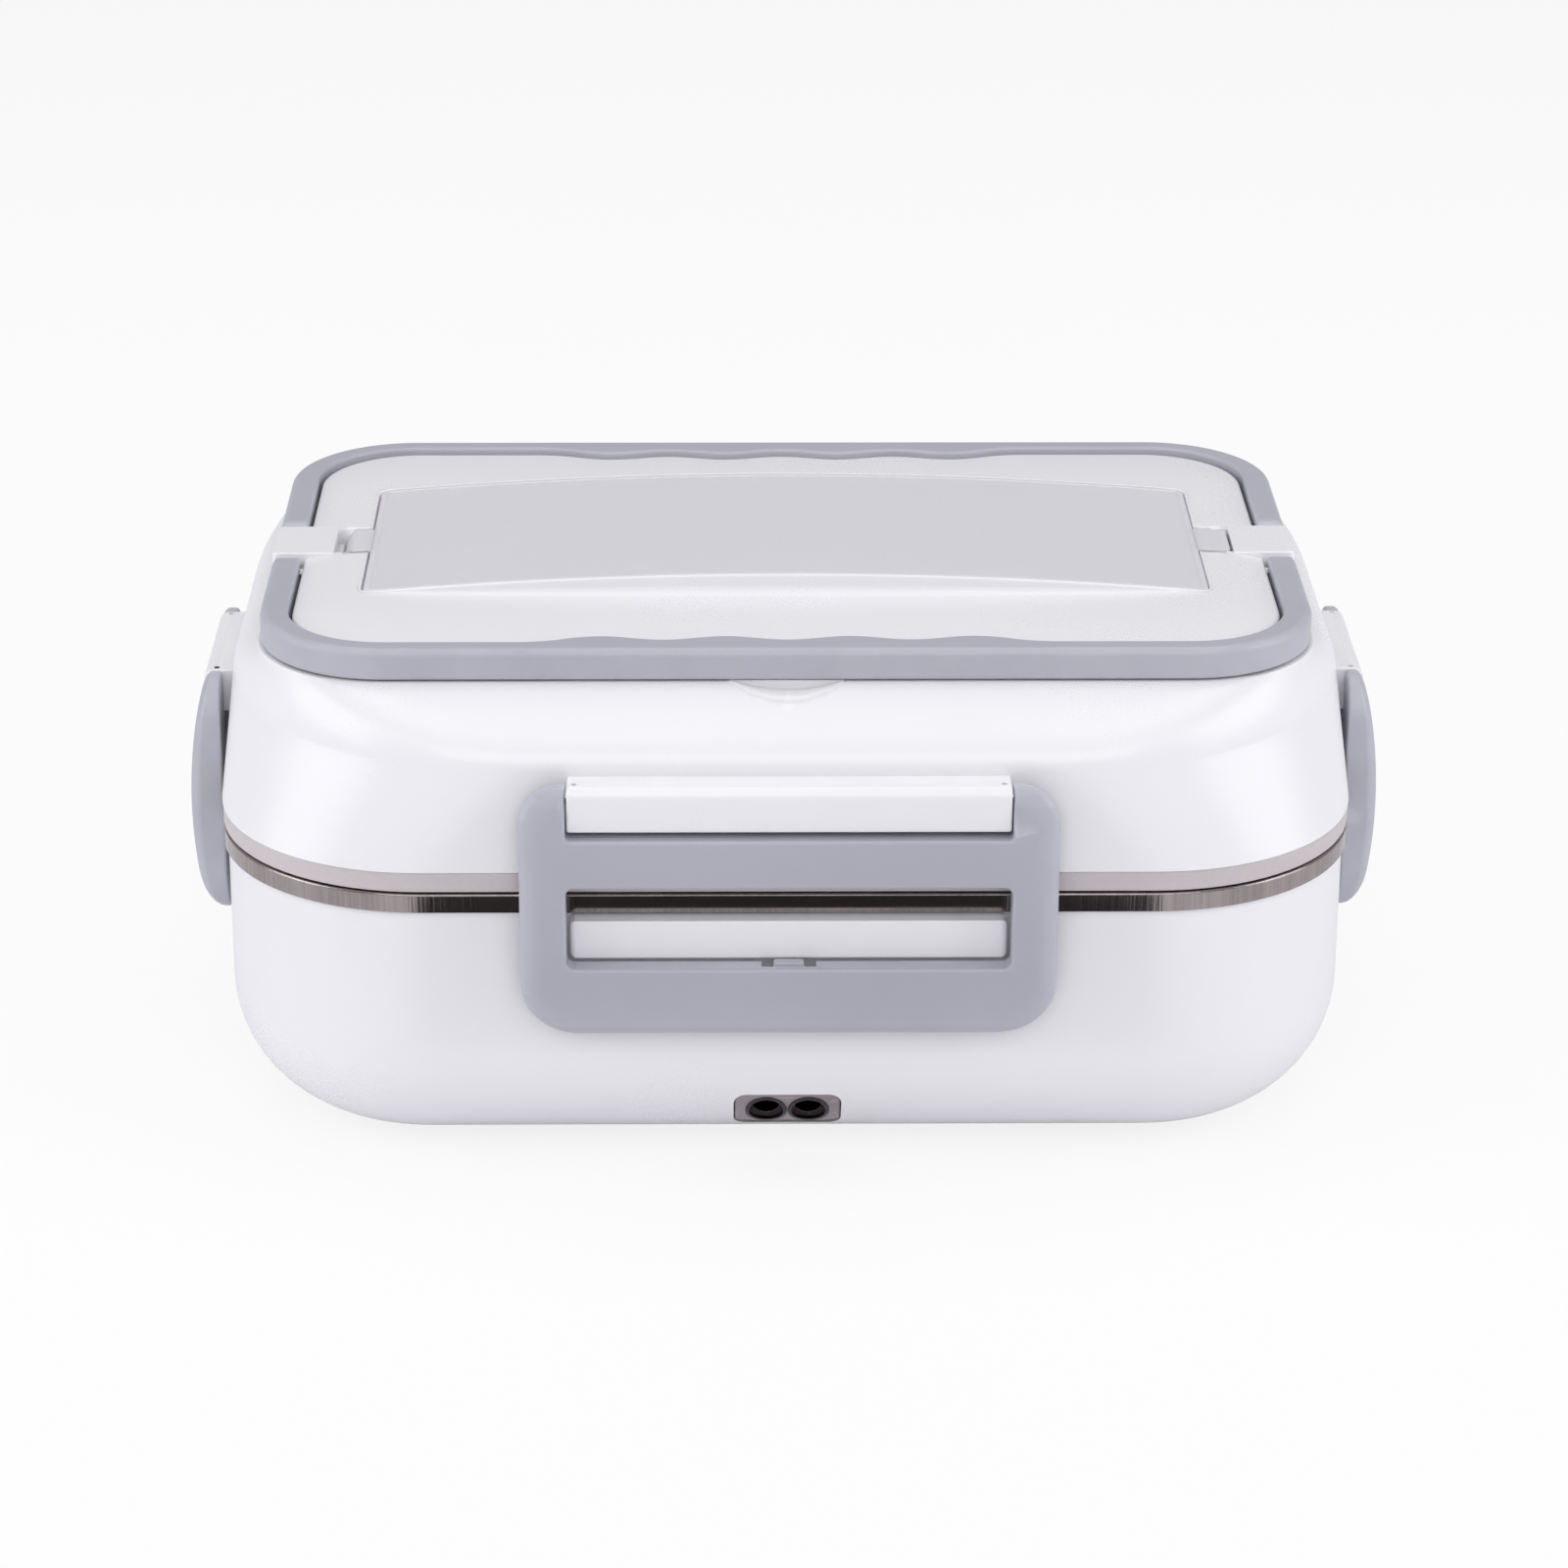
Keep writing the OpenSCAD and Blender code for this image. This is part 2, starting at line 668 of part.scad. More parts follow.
module rubber_feet() {
    color("dimgray") for (sx = [-1, 1], sy = [-1, 1]) translate([sx * foot_x, sy * foot_y, 0]) {
        cylinder(r1 = foot_r - 0.6, r2 = foot_r, h = 0.6);
        translate([0, 0, 0.6]) cylinder(r = foot_r, h = foot_h + foot_recess - 0.6);
    }
}

module bottom_screws() {
    len = well_z - under_z - screw_seat;
    color("silver") for (sx = [-1, 1], sy = [-1, 1])
        translate([sx * foot_x, sy * foot_y, under_z + screw_seat])
            screw(screw_r, len, screw_head_r, screw_head_h);
}

module steel_container() {
    depth = flange_top - container_z;
    color("silver") difference() {
        union() {
            translate([0, 0, container_z]) tub_form(can_inset, container_fillet, depth);
            difference() {
                tub_slab(-skirt_proud, flange_top - skirt_h, flange_top);
                tub_slab(sheet_t - skirt_proud, flange_top - skirt_h - 1, flange_z);
            }
        }
        translate([0, 0, container_z + sheet_t])
            tub_form(can_inset + sheet_t, container_fillet - sheet_t, depth + 1);
    }
}

// Outer form of the lid drawn in by inset, its top lowered by drop
module lid_form(inset, drop, z0) {
    span = ledge_z - crease_z - drop;
    hull() {
        lid_corners(half_w + lid_proud - inset, half_d + lid_proud - inset, lid_r - inset, z0);
        for (i = [0:shoulder_steps]) {
            a = shoulder_sweep * i / shoulder_steps;
            t = (1 - cos(a)) / (1 - cos(shoulder_sweep));
            z = crease_z + span * sin(a) / sin(shoulder_sweep);
            lid_corners(
                mix(half_w + lid_proud - band_draw_x, ring_hw + 0.5, t) - inset,
                mix(half_d + lid_proud - band_draw_y, ring_hd + 0.5, t) - inset,
                mix(lid_r + crease_soft, ring_r + 0.5, t) - inset,
                z - eps
            );
        }
    }
}

module lid_corners(hw, hd, r, z) {
    for (sx = [-1, 1], sy = [-1, 1])
        translate([sx * (hw - r), sy * (hd - r), z]) cylinder(r = r, h = eps, $fn = 40);
}

// Block on the lid that holds a latch's hinge pin
module hinge_block(w) {
    block_r = post_r + 0.1;
    along_wall(w) {
        translate([hinge_out, hinge_z]) circle(block_r);
        translate([-lid_wall, hinge_z - block_drop])
            square([hinge_out + block_r + lid_wall, block_drop]);
        translate([-lid_wall, hinge_z - 1]) square([hinge_out + lid_wall, 1 + block_r]);
    }
}

// Cylinder whose back is the arch of the cutlery cover, sunk by drop
module arch_body(drop) {
    translate([0, 0, arch_cz]) rotate([90, 0, 0])
        cylinder(r = arch_r - drop, h = body_d, center = true, $fn = 720);
}

module lid_shell() {
    tray_hw = cover_hw - tray_inset;
    tray_hd = cover_hd - tray_inset;
    tray_z = plateau_z - tray_h;
    color("whitesmoke") difference() {
        union() {
            difference() {
                lid_form(0, 0, lid_z);
                lid_form(lid_wall, lid_wall, lid_z - 1);
            }
            translate([0, 0, ledge_z - lid_wall]) linear_extrude(plateau_h + lid_wall)
                difference() {
                    polygon(opening_points(handle_gap));
                    outline(arm_in - 5, ring_hd - bar_w - 9, inner_r - 4);
                }
            translate([0, 0, plateau_z - lid_wall]) linear_extrude(lid_wall)
                polygon(opening_points(handle_gap));
            intersection() {
                slab(cover_hw + cover_rim, cover_hd + cover_rim, cover_r + cover_rim,
                    plateau_z - lid_wall, ring_top + cover_rise + 1);
                arch_body(0);
            }
            slab(tray_hw + tray_wall, tray_hd + tray_wall, 8, tray_z - tray_wall, plateau_z);
            for (sx = [-1, 1]) {
                pivot_tab(sx);
                translate([sx * (cover_hw + slot_len / 2), 0, plateau_z - slot_depth - 1.5])
                    linear_extrude(slot_depth + 1.5) square([slot_len + 3, tongue_w + 8], true);
            }
            for (side = SIDES) on_side(side) hinge_block(block_w(side));
            translate([-scoop_hw - 1, -ring_hd - scoop_pad / 2, ledge_z - scoop_h - lid_wall])
                cube([2 * scoop_hw + 2, scoop_pad, lid_wall]);
        }
        difference() {
            slab(cover_hw + side_play, cover_hd + side_play, cover_r + side_play,
                plateau_z - lid_wall - 1, ring_top + cover_rise + 2);
            arch_body(cover_t + cover_play);
        }
        slab(tray_hw, tray_hd, 6, tray_z, ring_top + 9);
        for (sx = [-1, 1])
            translate([sx * (cover_hw + slot_len / 2 - slot_lap), 0, plateau_z - slot_depth])
                linear_extrude(ring_h + slot_depth) square([slot_len, tongue_w + 0.8], true);
        thumb_scoop();
        translate([cover_pin_x, 0, cover_pin_z]) rotate([90, 0, 0])
            cylinder(r = cover_pin_r + run_fit, h = cover_pin_len + 0.4, center = true);
        for (sx = [-1, 1], sy = [-1, 1]) translate([sx * arm_in, sy * pivot_y, pivot_z])
            rotate([0, -sx * 90, 0]) translate([0, 0, -1])
                cylinder(r = handle_pin_r + run_fit, h = handle_pin_len - handle_pin_out + 1.2);
        for (side = SIDES) on_side(side) translate([0, -hinge_out, hinge_z]) {
            rotate([0, 90, 0])
                cylinder(r = latch_pin_r + run_fit, h = latch_w(side), center = true);
            for (sx = [-1, 1]) translate([sx * (block_w(side) / 2 - sight_in), 0, 0])
                cylinder(r = sight_r, h = post_r + 1);
        }
    }
}

// Lid tab between the handle ends, with the bosses that hold the pivot pins
module pivot_tab(sx) {
    mirror([sx < 0 ? 1 : 0, 0, 0]) {
        translate([ring_hw - tab_in, -tab_len / 2, ledge_z - 1])
            cube([tab_in + 0.4, tab_len, ring_top - ledge_z + 1]);
        translate([arm_in - 8, -pivot_y - 4, ledge_z - lid_wall])
            cube([8 - handle_gap, 2 * pivot_y + 8, plateau_z - ledge_z + lid_wall]);
    }
}

// Shallow hollow in the front shoulder that lets a thumb under the front handle
module thumb_scoop() {
    scoop_r = (scoop_hw * scoop_hw + scoop_h * scoop_h) / (2 * scoop_h);
    translate([0, 1 - ring_hd, ledge_z - scoop_h + scoop_r]) rotate([90, 0, 0])
        cylinder(r = scoop_r, h = 13);
}

module lid_liner() {
    rim_in = can_inset + sheet_t + side_play + 0.3;
    edge_in = lid_wall + liner_play - lid_proud;
    color("white") difference() {
        union() {
            slab(half_w - edge_in, half_d - edge_in, corner_r + liner_soft, lid_z, lid_z + liner_t);
            tub_slab(rim_in, lid_z - liner_lip_h - 2, lid_z);
        }
        tub_slab(rim_in + liner_lip_t, lid_z - liner_lip_h - 3, lid_z);
    }
}

module tub_slab(inset, z0, z1) {
    slab(half_w - inset, half_d - inset, corner_r - inset, z0, z1);
}

module lid_seal() {
    seal_in = can_inset + sheet_t + side_play + 0.2;
    color("gainsboro") difference() {
        union() {
            tub_slab(0.2 - lid_proud, band_z, lid_z);
            tub_slab(seal_in - seal_lip_w, band_z - seal_lip_h, band_z);
        }
        tub_slab(seal_in, 0, lid_z + 1);
    }
}

module handle_pins() {
    color("silver") for (sx = [-1, 1], sy = [-1, 1])
        translate([sx * (arm_in + handle_pin_out), sy * pivot_y, pivot_z])
            rotate([0, -sx * 90, 0]) cylinder(r = handle_pin_r, h = handle_pin_len);
}

module cover_pin() {
    color("silver") translate([cover_pin_x, 0, cover_pin_z]) rotate([90, 0, 0])
        cylinder(r = cover_pin_r, h = cover_pin_len, center = true);
}

module latch_pin(side) {
    color("silver") on_side(side) translate([0, -hinge_out, hinge_z]) rotate([0, 90, 0])
        cylinder(r = latch_pin_r, h = latch_w(side) - 2 * post_w + 2 * pin_stub, center = true);
}

// Side section of a latch: bowed face, rounded lower lip, round top about the hinge
function latch_points() =
    let (
        bow_x = latch_out - latch_bow,
        bow_z = rim_z + 0.6,
        lip_z = rim_z - latch_bottom + lip_r,
        lip_x = bow_x + sqrt(pow(latch_bow - lip_r, 2) - pow(lip_z - bow_z, 2)),
        start = -acos((latch_in + 0.4 - lip_x) / lip_r),
        low = atan2(lip_z - bow_z, lip_x - bow_x),
        high = asin((hinge_z - 2 - bow_z) / latch_bow)
    )
    concat(
        [[latch_in, lip_z + lip_r * sin(start)]],
        [for (i = [0:7]) let (a = mix(start, low, i / 8))
            [lip_x + lip_r * cos(a), lip_z + lip_r * sin(a)]],
        [for (i = [0:12]) let (a = mix(low, high, i / 12))
            [bow_x + latch_bow * cos(a), bow_z + latch_bow * sin(a)]],
        [for (a = [15:15:195]) [hinge_out + post_r * cos(a), hinge_z + post_r * sin(a)]],
        [[latch_in, hinge_z - 1.6 * post_r]]
    );

// Waste outside a rounded corner of radius r whose tip is at the origin
module corner_waste(r) {
    difference() {
        translate([-1, -1]) square(r + 1);
        translate([r, r]) circle(r);
    }
}

module latch(side) {
    w = latch_w(side);
    window = w / 2 - post_w;
    latch_top = hinge_z + post_r;
    depth = 2 * latch_out;
    color("darkgray") on_side(side) {
        difference() {
            along_wall(w) polygon(latch_points());
            latch_waste(w, window, latch_top, depth);
        }
        translate([-snap_w / 2, notch_face - latch_out, rim_z - window_bottom - eps])
            cube([snap_w, latch_out - notch_face - catch_clear, snap_rise + eps]);
    }
}

// All that is cut from a latch: corners, bevels, block notch, window, catch recess and pin bore
module latch_waste(w, window, latch_top, depth) {
    for (sx = [0, 1]) mirror([sx, 0, 0]) {
        translate([-w / 2, 0, rim_z - latch_bottom]) rotate([90, 0, 0])
            linear_extrude(depth) corner_waste(latch_corner_r);
        translate([-w / 2, 0, latch_top]) rotate([90, 0, 0])
            linear_extrude(depth) mirror([0, 1]) corner_waste(post_corner_r);
        translate([-w / 2, 0, 0]) linear_extrude(latch_top + 1) polygon([
            [-1, -latch_out + bevel_out + 1], [-1, -latch_out - 1],
            [bevel_in, -latch_out - 1], [bevel_in, -latch_out], [0, -latch_out + bevel_out]
        ]);
    }
    translate([-window, -depth, rim_z + crossbar_top])
        cube([2 * window, depth, latch_top]);
    translate([0, 0, rim_z + (window_top - window_bottom) / 2]) rotate([90, 0, 0])
        linear_extrude(depth) outline(window, (window_top + window_bottom) / 2, 1.6);
    for (sx = [-1, 1])
        translate([sx * (snap_w + notch_w) / 2 - notch_w / 2, notch_face - latch_out,
            rim_z - window_bottom - notch_depth]) cube([notch_w, latch_out, notch_depth + 1]);
    translate([0, -hinge_out, hinge_z]) rotate([0, 90, 0])
        cylinder(r = latch_pin_r + run_fit, h = 2 * window + 2 * pin_stub + 0.4, center = true);
    translate([-window, -catch_clear, 0]) cube([2 * window, catch_clear + 1, rim_z]);
}

module front_latch_pin() { latch_pin("front"); }
module rear_latch_pin() { latch_pin("rear"); }
module left_latch_pin() { latch_pin("left"); }
module right_latch_pin() { latch_pin("right"); }
module front_latch() { latch("front"); }
module rear_latch() { latch("rear"); }
module left_latch() { latch("left"); }
module right_latch() { latch("right"); }

// U-shaped half of the handle ring, drawn for the front
module handle() {
    color("darkgray") difference() {
        union() {
            intersection() {
                translate([0, 0, ring_z]) linear_extrude(ring_h) difference() {
                    outline(ring_hw, ring_hd, ring_r);
                    polygon(opening_points(0));
                }
                translate([-half_w, -half_d - pivot_y, 0]) cube([body_w, half_d, 2 * ring_top]);
            }
            for (sx = [-1, 1]) translate([sx * (arm_in + arm_w / 2), -pivot_y, pivot_z])
                rotate([0, 90, 0]) cylinder(r = ring_h / 2, h = arm_w, center = true);
        }
        for (sx = [-1, 1]) translate([sx * (arm_in - 1), -pivot_y, pivot_z])
            rotate([0, sx * 90, 0]) cylinder(r = handle_pin_r + run_fit, h = handle_pin_out + 1.2);
    }
}

module front_handle() { handle(); }
module rear_handle() { rotate([0, 0, 180]) handle(); }

// Waste at the cover's hinge end: a small set-back and a chamfer that lets it swing up
module hinge_end_waste() {
    end = -cover_hw + end_gap;
    low = ring_top - cover_t;
    rotate([90, 0, 0]) linear_extrude(body_d, center = true) polygon([
        [end - 2, low - 1], [end + end_chamfer + 1, low - 1], [end, low + end_chamfer],
        [end, ring_top + 1], [end - 2, ring_top + 1]
    ]);
}

module spoon_cover() {
    color("lightgray") difference() {
        union() {
            difference() {
                intersection() {
                    slab(cover_hw, cover_hd, cover_r + end_soft,
                        ring_top - cover_t - 1, ring_top + cover_rise + 1);
                    difference() {
                        arch_body(0);
                        arch_body(cover_t);
                    }
                }
                hinge_end_waste();
            }
            translate([cover_pin_x, -tongue_w / 2, cover_pin_z - 0.2])
                cube([-cover_hw - cover_pin_x + slot_lap / 2, tongue_w, ring_top - cover_pin_z + 0.2]);
            translate([cover_pin_x, 0, cover_pin_z]) rotate([90, 0, 0])
                cylinder(r = knuckle_r, h = tongue_w, center = true);
            translate([cover_pin_x, -tongue_w / 2, ring_top - cover_t + root_rise])
                cube([-cover_hw - cover_pin_x + root_len, tongue_w, cover_t - root_rise]);
            translate([cover_hw - slot_lap / 2, -tongue_w / 2, ring_top - cover_t])
                cube([slot_lap / 2 + tab_reach, tongue_w, cover_t - 0.2]);
        }
        translate([cover_pin_x, 0, cover_pin_z]) rotate([90, 0, 0])
            cylinder(r = cover_pin_r + run_fit, h = tongue_w + 2, center = true);
    }
}

base_shell();
inner_tub();
heating_plate();
plate_seal();
ptc_heater();
heater_clamp();
clamp_screws();
thermostat();
thermal_fuse();
inlet_housing();
inlet_pins();
inlet_screws();
live_lead();
neutral_lead();
link_leads();
rubber_feet();
bottom_screws();
steel_container();
lid_shell();
lid_liner();
lid_seal();
handle_pins();
cover_pin();
front_latch_pin();
rear_latch_pin();
left_latch_pin();
right_latch_pin();
front_latch();
rear_latch();
left_latch();
right_latch();
front_handle();
rear_handle();
spoon_cover();
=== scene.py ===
"""Electric lunch box: visible shells, finishes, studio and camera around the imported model.

Lengths are millimetres in the classes and become metres when a mesh is made. The frame is
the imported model's: +Z up, the front with the mains inlet towards -Y.
"""

import json
import logging
import math
from dataclasses import dataclass, field
from enum import Enum
from typing import Callable, Sequence

import bmesh
import bpy
import numpy as np
from mathutils import Matrix, Vector


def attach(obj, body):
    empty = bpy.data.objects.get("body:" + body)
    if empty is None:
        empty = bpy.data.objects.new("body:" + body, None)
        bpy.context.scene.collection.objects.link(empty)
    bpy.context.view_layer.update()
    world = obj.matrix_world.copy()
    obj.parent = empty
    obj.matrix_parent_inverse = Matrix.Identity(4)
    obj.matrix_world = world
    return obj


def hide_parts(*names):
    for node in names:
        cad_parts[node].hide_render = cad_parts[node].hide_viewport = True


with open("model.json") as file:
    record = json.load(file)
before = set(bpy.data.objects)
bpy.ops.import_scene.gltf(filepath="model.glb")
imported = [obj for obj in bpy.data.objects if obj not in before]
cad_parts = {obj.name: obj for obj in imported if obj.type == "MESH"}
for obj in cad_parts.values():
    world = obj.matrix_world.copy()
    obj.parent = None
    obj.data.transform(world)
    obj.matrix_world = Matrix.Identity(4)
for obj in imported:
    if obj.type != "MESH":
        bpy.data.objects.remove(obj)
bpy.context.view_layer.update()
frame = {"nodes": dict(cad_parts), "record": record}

LOG = logging.getLogger("lunch_box")
MM = 0.001
SMOOTH_ANGLE = math.radians(38)

Place = Callable[[np.ndarray], np.ndarray]
Height = Callable[[np.ndarray, np.ndarray], np.ndarray]
Node = bpy.types.Node
Socket = bpy.types.NodeSocket
Piece = bpy.types.Object
Row = tuple[float, float, float, float, float]
Tone = tuple[float, float, float]
Pair = tuple[float, float]
CUT_EDGE = (0.05, 0.05)
WELD = 1e-4


def srgb(red: float, green: float, blue: float) -> tuple[float, float, float, float]:
    """Turn a display colour into Blender's linear colour.

    Args:
        red: Red, from 0 to 255.
        green: Green, from 0 to 255.
        blue: Blue, from 0 to 255.

    Returns:
        The linear colour with an alpha of 1.
    """
    parts = [c / 255 for c in (red, green, blue)]
    linear = [c / 12.92 if c <= 0.04045 else ((c + 0.055) / 1.055) ** 2.4 for c in parts]
    return (linear[0], linear[1], linear[2], 1.0)


# --------------------------------------------------------------------------- sizes


@dataclass(frozen=True)
class BoxSizes:
    """Sizes that several sub-assemblies share, as the part's source names them."""

    half_w: float = 115.0
    half_d: float = 85.0
    corner_r: float = 42.0
    under_z: float = 1.5
    rim_z: float = 59.5
    fillet: float = 28.0
    wall: float = 2.5
    lip_t: float = 1.6
    flange_top: float = 63.5
    band_z: float = 63.9
    lid_z: float = 68.0
    crease_z: float = 89.3
    ledge_z: float = 100.8
    plateau_z: float = 106.4
    ring_z: float = 101.1
    ring_top: float = 107.7
    hinge_z: float = 85.5
    hinge_out: float = 3.6
    long_latch: float = 106.4
    side_latch: float = 54.4
    side_drop: float = 3.2
    side_out: float = 0.5
    post_w: float = 9.2


SIZES = BoxSizes()


class Side(Enum):
    """Sides of the box: turn in degrees about the vertical, and whether it is a long side."""

    FRONT = (0, True)
    REAR = (180, True)
    LEFT = (-90, False)
    RIGHT = (90, False)

    @property
    def label(self) -> str:
        """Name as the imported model's nodes use it."""
        return self.name.lower()

    @property
    def wall(self) -> float:
        """Distance from the middle of the box from which a side's pieces are measured."""
        return SIZES.half_d if self.value[1] else SIZES.half_w + SIZES.side_out

    @property
    def drop(self) -> float:
        """How much lower this side's latch, hinge block and catch sit."""
        return 0.0 if self.value[1] else SIZES.side_drop

    @property
    def latch_width(self) -> float:
        """Overall width of the latch on this side."""
        return SIZES.long_latch if self.value[1] else SIZES.side_latch

    def place(self, local: np.ndarray) -> np.ndarray:
        """Put (along the wall, height, out from the wall) points on this side.

        Args:
            local: Points as rows of three numbers.

        Returns:
            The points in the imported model's frame.
        """
        turn = math.radians(self.value[0])
        along, out = local[:, 0], -(self.wall + local[:, 2])
        x = along * math.cos(turn) - out * math.sin(turn)
        y = along * math.sin(turn) + out * math.cos(turn)
        return np.column_stack([x, y, local[:, 1] - self.drop])


# --------------------------------------------------------------------------- mesh tools


@dataclass(frozen=True)
class Plan:
    """Rounded rectangle in plan, sampled with the same number of points whatever its size."""

    hw: float
    hd: float
    r: float
    along_x: int = 80
    along_y: int = 28
    corner: int = 20

    def inset(self, by: float) -> "Plan":
        """The same plan drawn in by a distance."""
        return Plan(self.hw - by, self.hd - by, max(self.r - by, 0.05))

    def towards(self, other: "Plan", t: float) -> "Plan":
        """A plan between this one and another, t from 0 to 1."""
        pairs = zip((self.hw, self.hd, self.r), (other.hw, other.hd, other.r))
        return Plan(*(a + (b - a) * t for a, b in pairs))

    def outline(self) -> np.ndarray:
        """Points anticlockwise from the front left, as rows of x and y."""
        cx, cy = self.hw - self.r, self.hd - self.r
        sides = [
            (np.linspace(-cx, cx, self.along_x, endpoint=False), -self.hd, True, (cx, -cy), -90),
            (np.linspace(-cy, cy, self.along_y, endpoint=False), self.hw, False, (cx, cy), 0),
            (np.linspace(cx, -cx, self.along_x, endpoint=False), self.hd, True, (-cx, cy), 90),
            (np.linspace(cy, -cy, self.along_y, endpoint=False), -self.hw, False, (-cx, -cy), 180),
        ]
        runs = []
        for steps, level, is_x, centre, start in sides:
            flat = np.full_like(steps, level)
            runs.append(np.column_stack([steps, flat] if is_x else [flat, steps]))
            angles = np.radians(start + np.linspace(0, 90, self.corner, endpoint=False))
            runs.append(np.array(centre) + self.r * np.column_stack([np.cos(angles), np.sin(angles)]))
        return np.vstack(runs)

    def ring(self, z: "float | Height") -> np.ndarray:
        """The outline as rows of x, y and z, at a height that may depend on x and y."""
        return raised(self.outline(), z)

    def stack(self, rows: Sequence[Pair]) -> list[np.ndarray]:
        """Rings of this plan for rows of inset and height."""
        return [self.inset(by).ring(z) for by, z in rows]

    def foot(
        self, inset: float, lift: float, r: float, steps: int = 16, start: float = 0
    ) -> list[np.ndarray]:
        """Rings of a rounded foot.

        Args:
            inset: How far the wall stands inside this plan.
            lift: Height of the underside.
            r: Radius of the foot.
            steps: Number of rings.
            start: Angle of the first ring, 0 at the wall and 90 at the underside.

        Returns:
            The rings, from the top down.
        """
        turns = np.radians(np.linspace(start, 90, steps))
        return self.stack([(inset + r * (1 - math.cos(a)), lift + r * (1 - math.sin(a))) for a in turns])


WALL = Plan(SIZES.half_w, SIZES.half_d, SIZES.corner_r)


def raised(flat: np.ndarray, z: "float | Height") -> np.ndarray:
    """Give rows of x and y a height, which may depend on them."""
    level = z(flat[:, 0], flat[:, 1]) if callable(z) else np.full(len(flat), float(z))
    return np.column_stack([flat, level])


def upright(p: np.ndarray) -> np.ndarray:
    """Stand flat points up: the second plan number becomes the height, the level becomes y."""
    return p[:, [0, 2, 1]]


def rectangle(x0: float, y0: float, x1: float, y1: float, r: float, edge: Pair) -> list[Row]:
    """Rows for Loop.corners that make a rectangle with one corner radius and one edge."""
    return [(x, y, r, *edge) for x, y in ((x0, y0), (x1, y0), (x1, y1), (x0, y1))]


@dataclass
class Loop:
    """Closed outline of a plate, anticlockwise, with the width and depth of its rounded edge.

    The edge sizes stand on the run from each point to the next. A hole has is_hole set.
    """

    points: list[Pair] = field(default_factory=list)
    widths: list[float] = field(default_factory=list)
    depths: list[float] = field(default_factory=list)
    is_hole: bool = False

    def add(self, x: float, y: float, width: float, depth: float) -> None:
        """Add a point and the rounded edge of the run that starts there."""
        self.points.append((x, y))
        self.widths.append(width)
        self.depths.append(depth)

    def corners(self, rows: Sequence[Row], steps: int = 10) -> "Loop":
        """Add a polygon whose corners are rounded.

        Args:
            rows: x, y, corner radius, and edge width and depth of the run after the corner.
            steps: Segments in a rounded corner.

        Returns:
            This loop.
        """
        count = len(rows)
        for i, (x, y, r, width, depth) in enumerate(rows):
            before, after = rows[i - 1], rows[(i + 1) % count]
            if r <= 0:
                self.add(x, y, width, depth)
                continue
            here = np.array([x, y])
            a = np.array(before[:2]) - here
            b = np.array(after[:2]) - here
            a, b = a / np.linalg.norm(a), b / np.linalg.norm(b)
            half = math.acos(max(-1.0, min(1.0, float(a @ b)))) / 2
            reach = r / math.tan(half)
            middle = here + (a + b) / np.linalg.norm(a + b) * (r / math.sin(half))
            start, end = here + a * reach - middle, here + b * reach - middle
            sweep = math.atan2(start[0] * end[1] - start[1] * end[0], float(start @ end))
            for k in range(steps + 1):
                t = k / steps
                turn = sweep * t
                px = start[0] * math.cos(turn) - start[1] * math.sin(turn)
                py = start[0] * math.sin(turn) + start[1] * math.cos(turn)
                ease = t * t * (3 - 2 * t)
                self.add(
                    middle[0] + px,
                    middle[1] + py,
                    before[3] + (width - before[3]) * ease,
                    before[4] + (depth - before[4]) * ease,
                )
        return self

    def circle(self, x: float, y: float, r: float, width: float, depth: float, steps: int = 48) -> "Loop":
        """Add a circle with one rounded edge all round."""
        for k in range(steps):
            a = 2 * math.pi * k / steps
            self.add(x + r * math.cos(a), y + r * math.sin(a), width, depth)
        return self

    def arc(self, x: float, y: float, r: float, turn: Pair, edge: Pair) -> None:
        """Add an arc from one angle to another, with the same rounded edge along it."""
        for a in np.radians(np.linspace(*turn, 24)):
            self.add(x + r * math.cos(a), y + r * math.sin(a), *edge)

    def insets(self) -> tuple[np.ndarray, np.ndarray]:
        """Offsets that draw each point into the material, and the edge depth at each point."""
        p = np.array(self.points)
        run = np.roll(p, -1, axis=0) - p
        run /= np.linalg.norm(run, axis=1)[:, None]
        out = np.column_stack([run[:, 1], -run[:, 0]]) * (-1 if self.is_hole else 1)
        n_next, n_prev = out, np.roll(out, 1, axis=0)
        w_next = np.array(self.widths)
        w_prev = np.roll(w_next, 1)
        h_next = np.array(self.depths)
        h_prev = np.roll(h_next, 1)
        cross = n_prev[:, 0] * n_next[:, 1] - n_prev[:, 1] * n_next[:, 0]
        mean = n_prev + n_next
        mean /= np.linalg.norm(mean, axis=1)[:, None]
        offset = -mean * ((w_prev + w_next) / 2)[:, None]
        bent = np.abs(cross) > 0.35
        if bent.any():
            dx = (-w_prev * n_next[:, 1] + w_next * n_prev[:, 1])[bent] / cross[bent]
            dy = (-w_next * n_prev[:, 0] + w_prev * n_next[:, 0])[bent] / cross[bent]
            offset[bent] = np.column_stack([dx, dy])
        return offset, np.maximum(h_prev, h_next)


ROUND_EDGE = tuple((1 - math.cos(a), 1 - math.sin(a)) for a in np.radians(np.linspace(0, 90, 7)))
STEPPED_EDGE = ((0.0, 1.0), (0.04, 0.55), (0.14, 0.15), (0.3, 0.0), (0.75, 0.0), (0.86, 0.35), (1.0, 0.42))


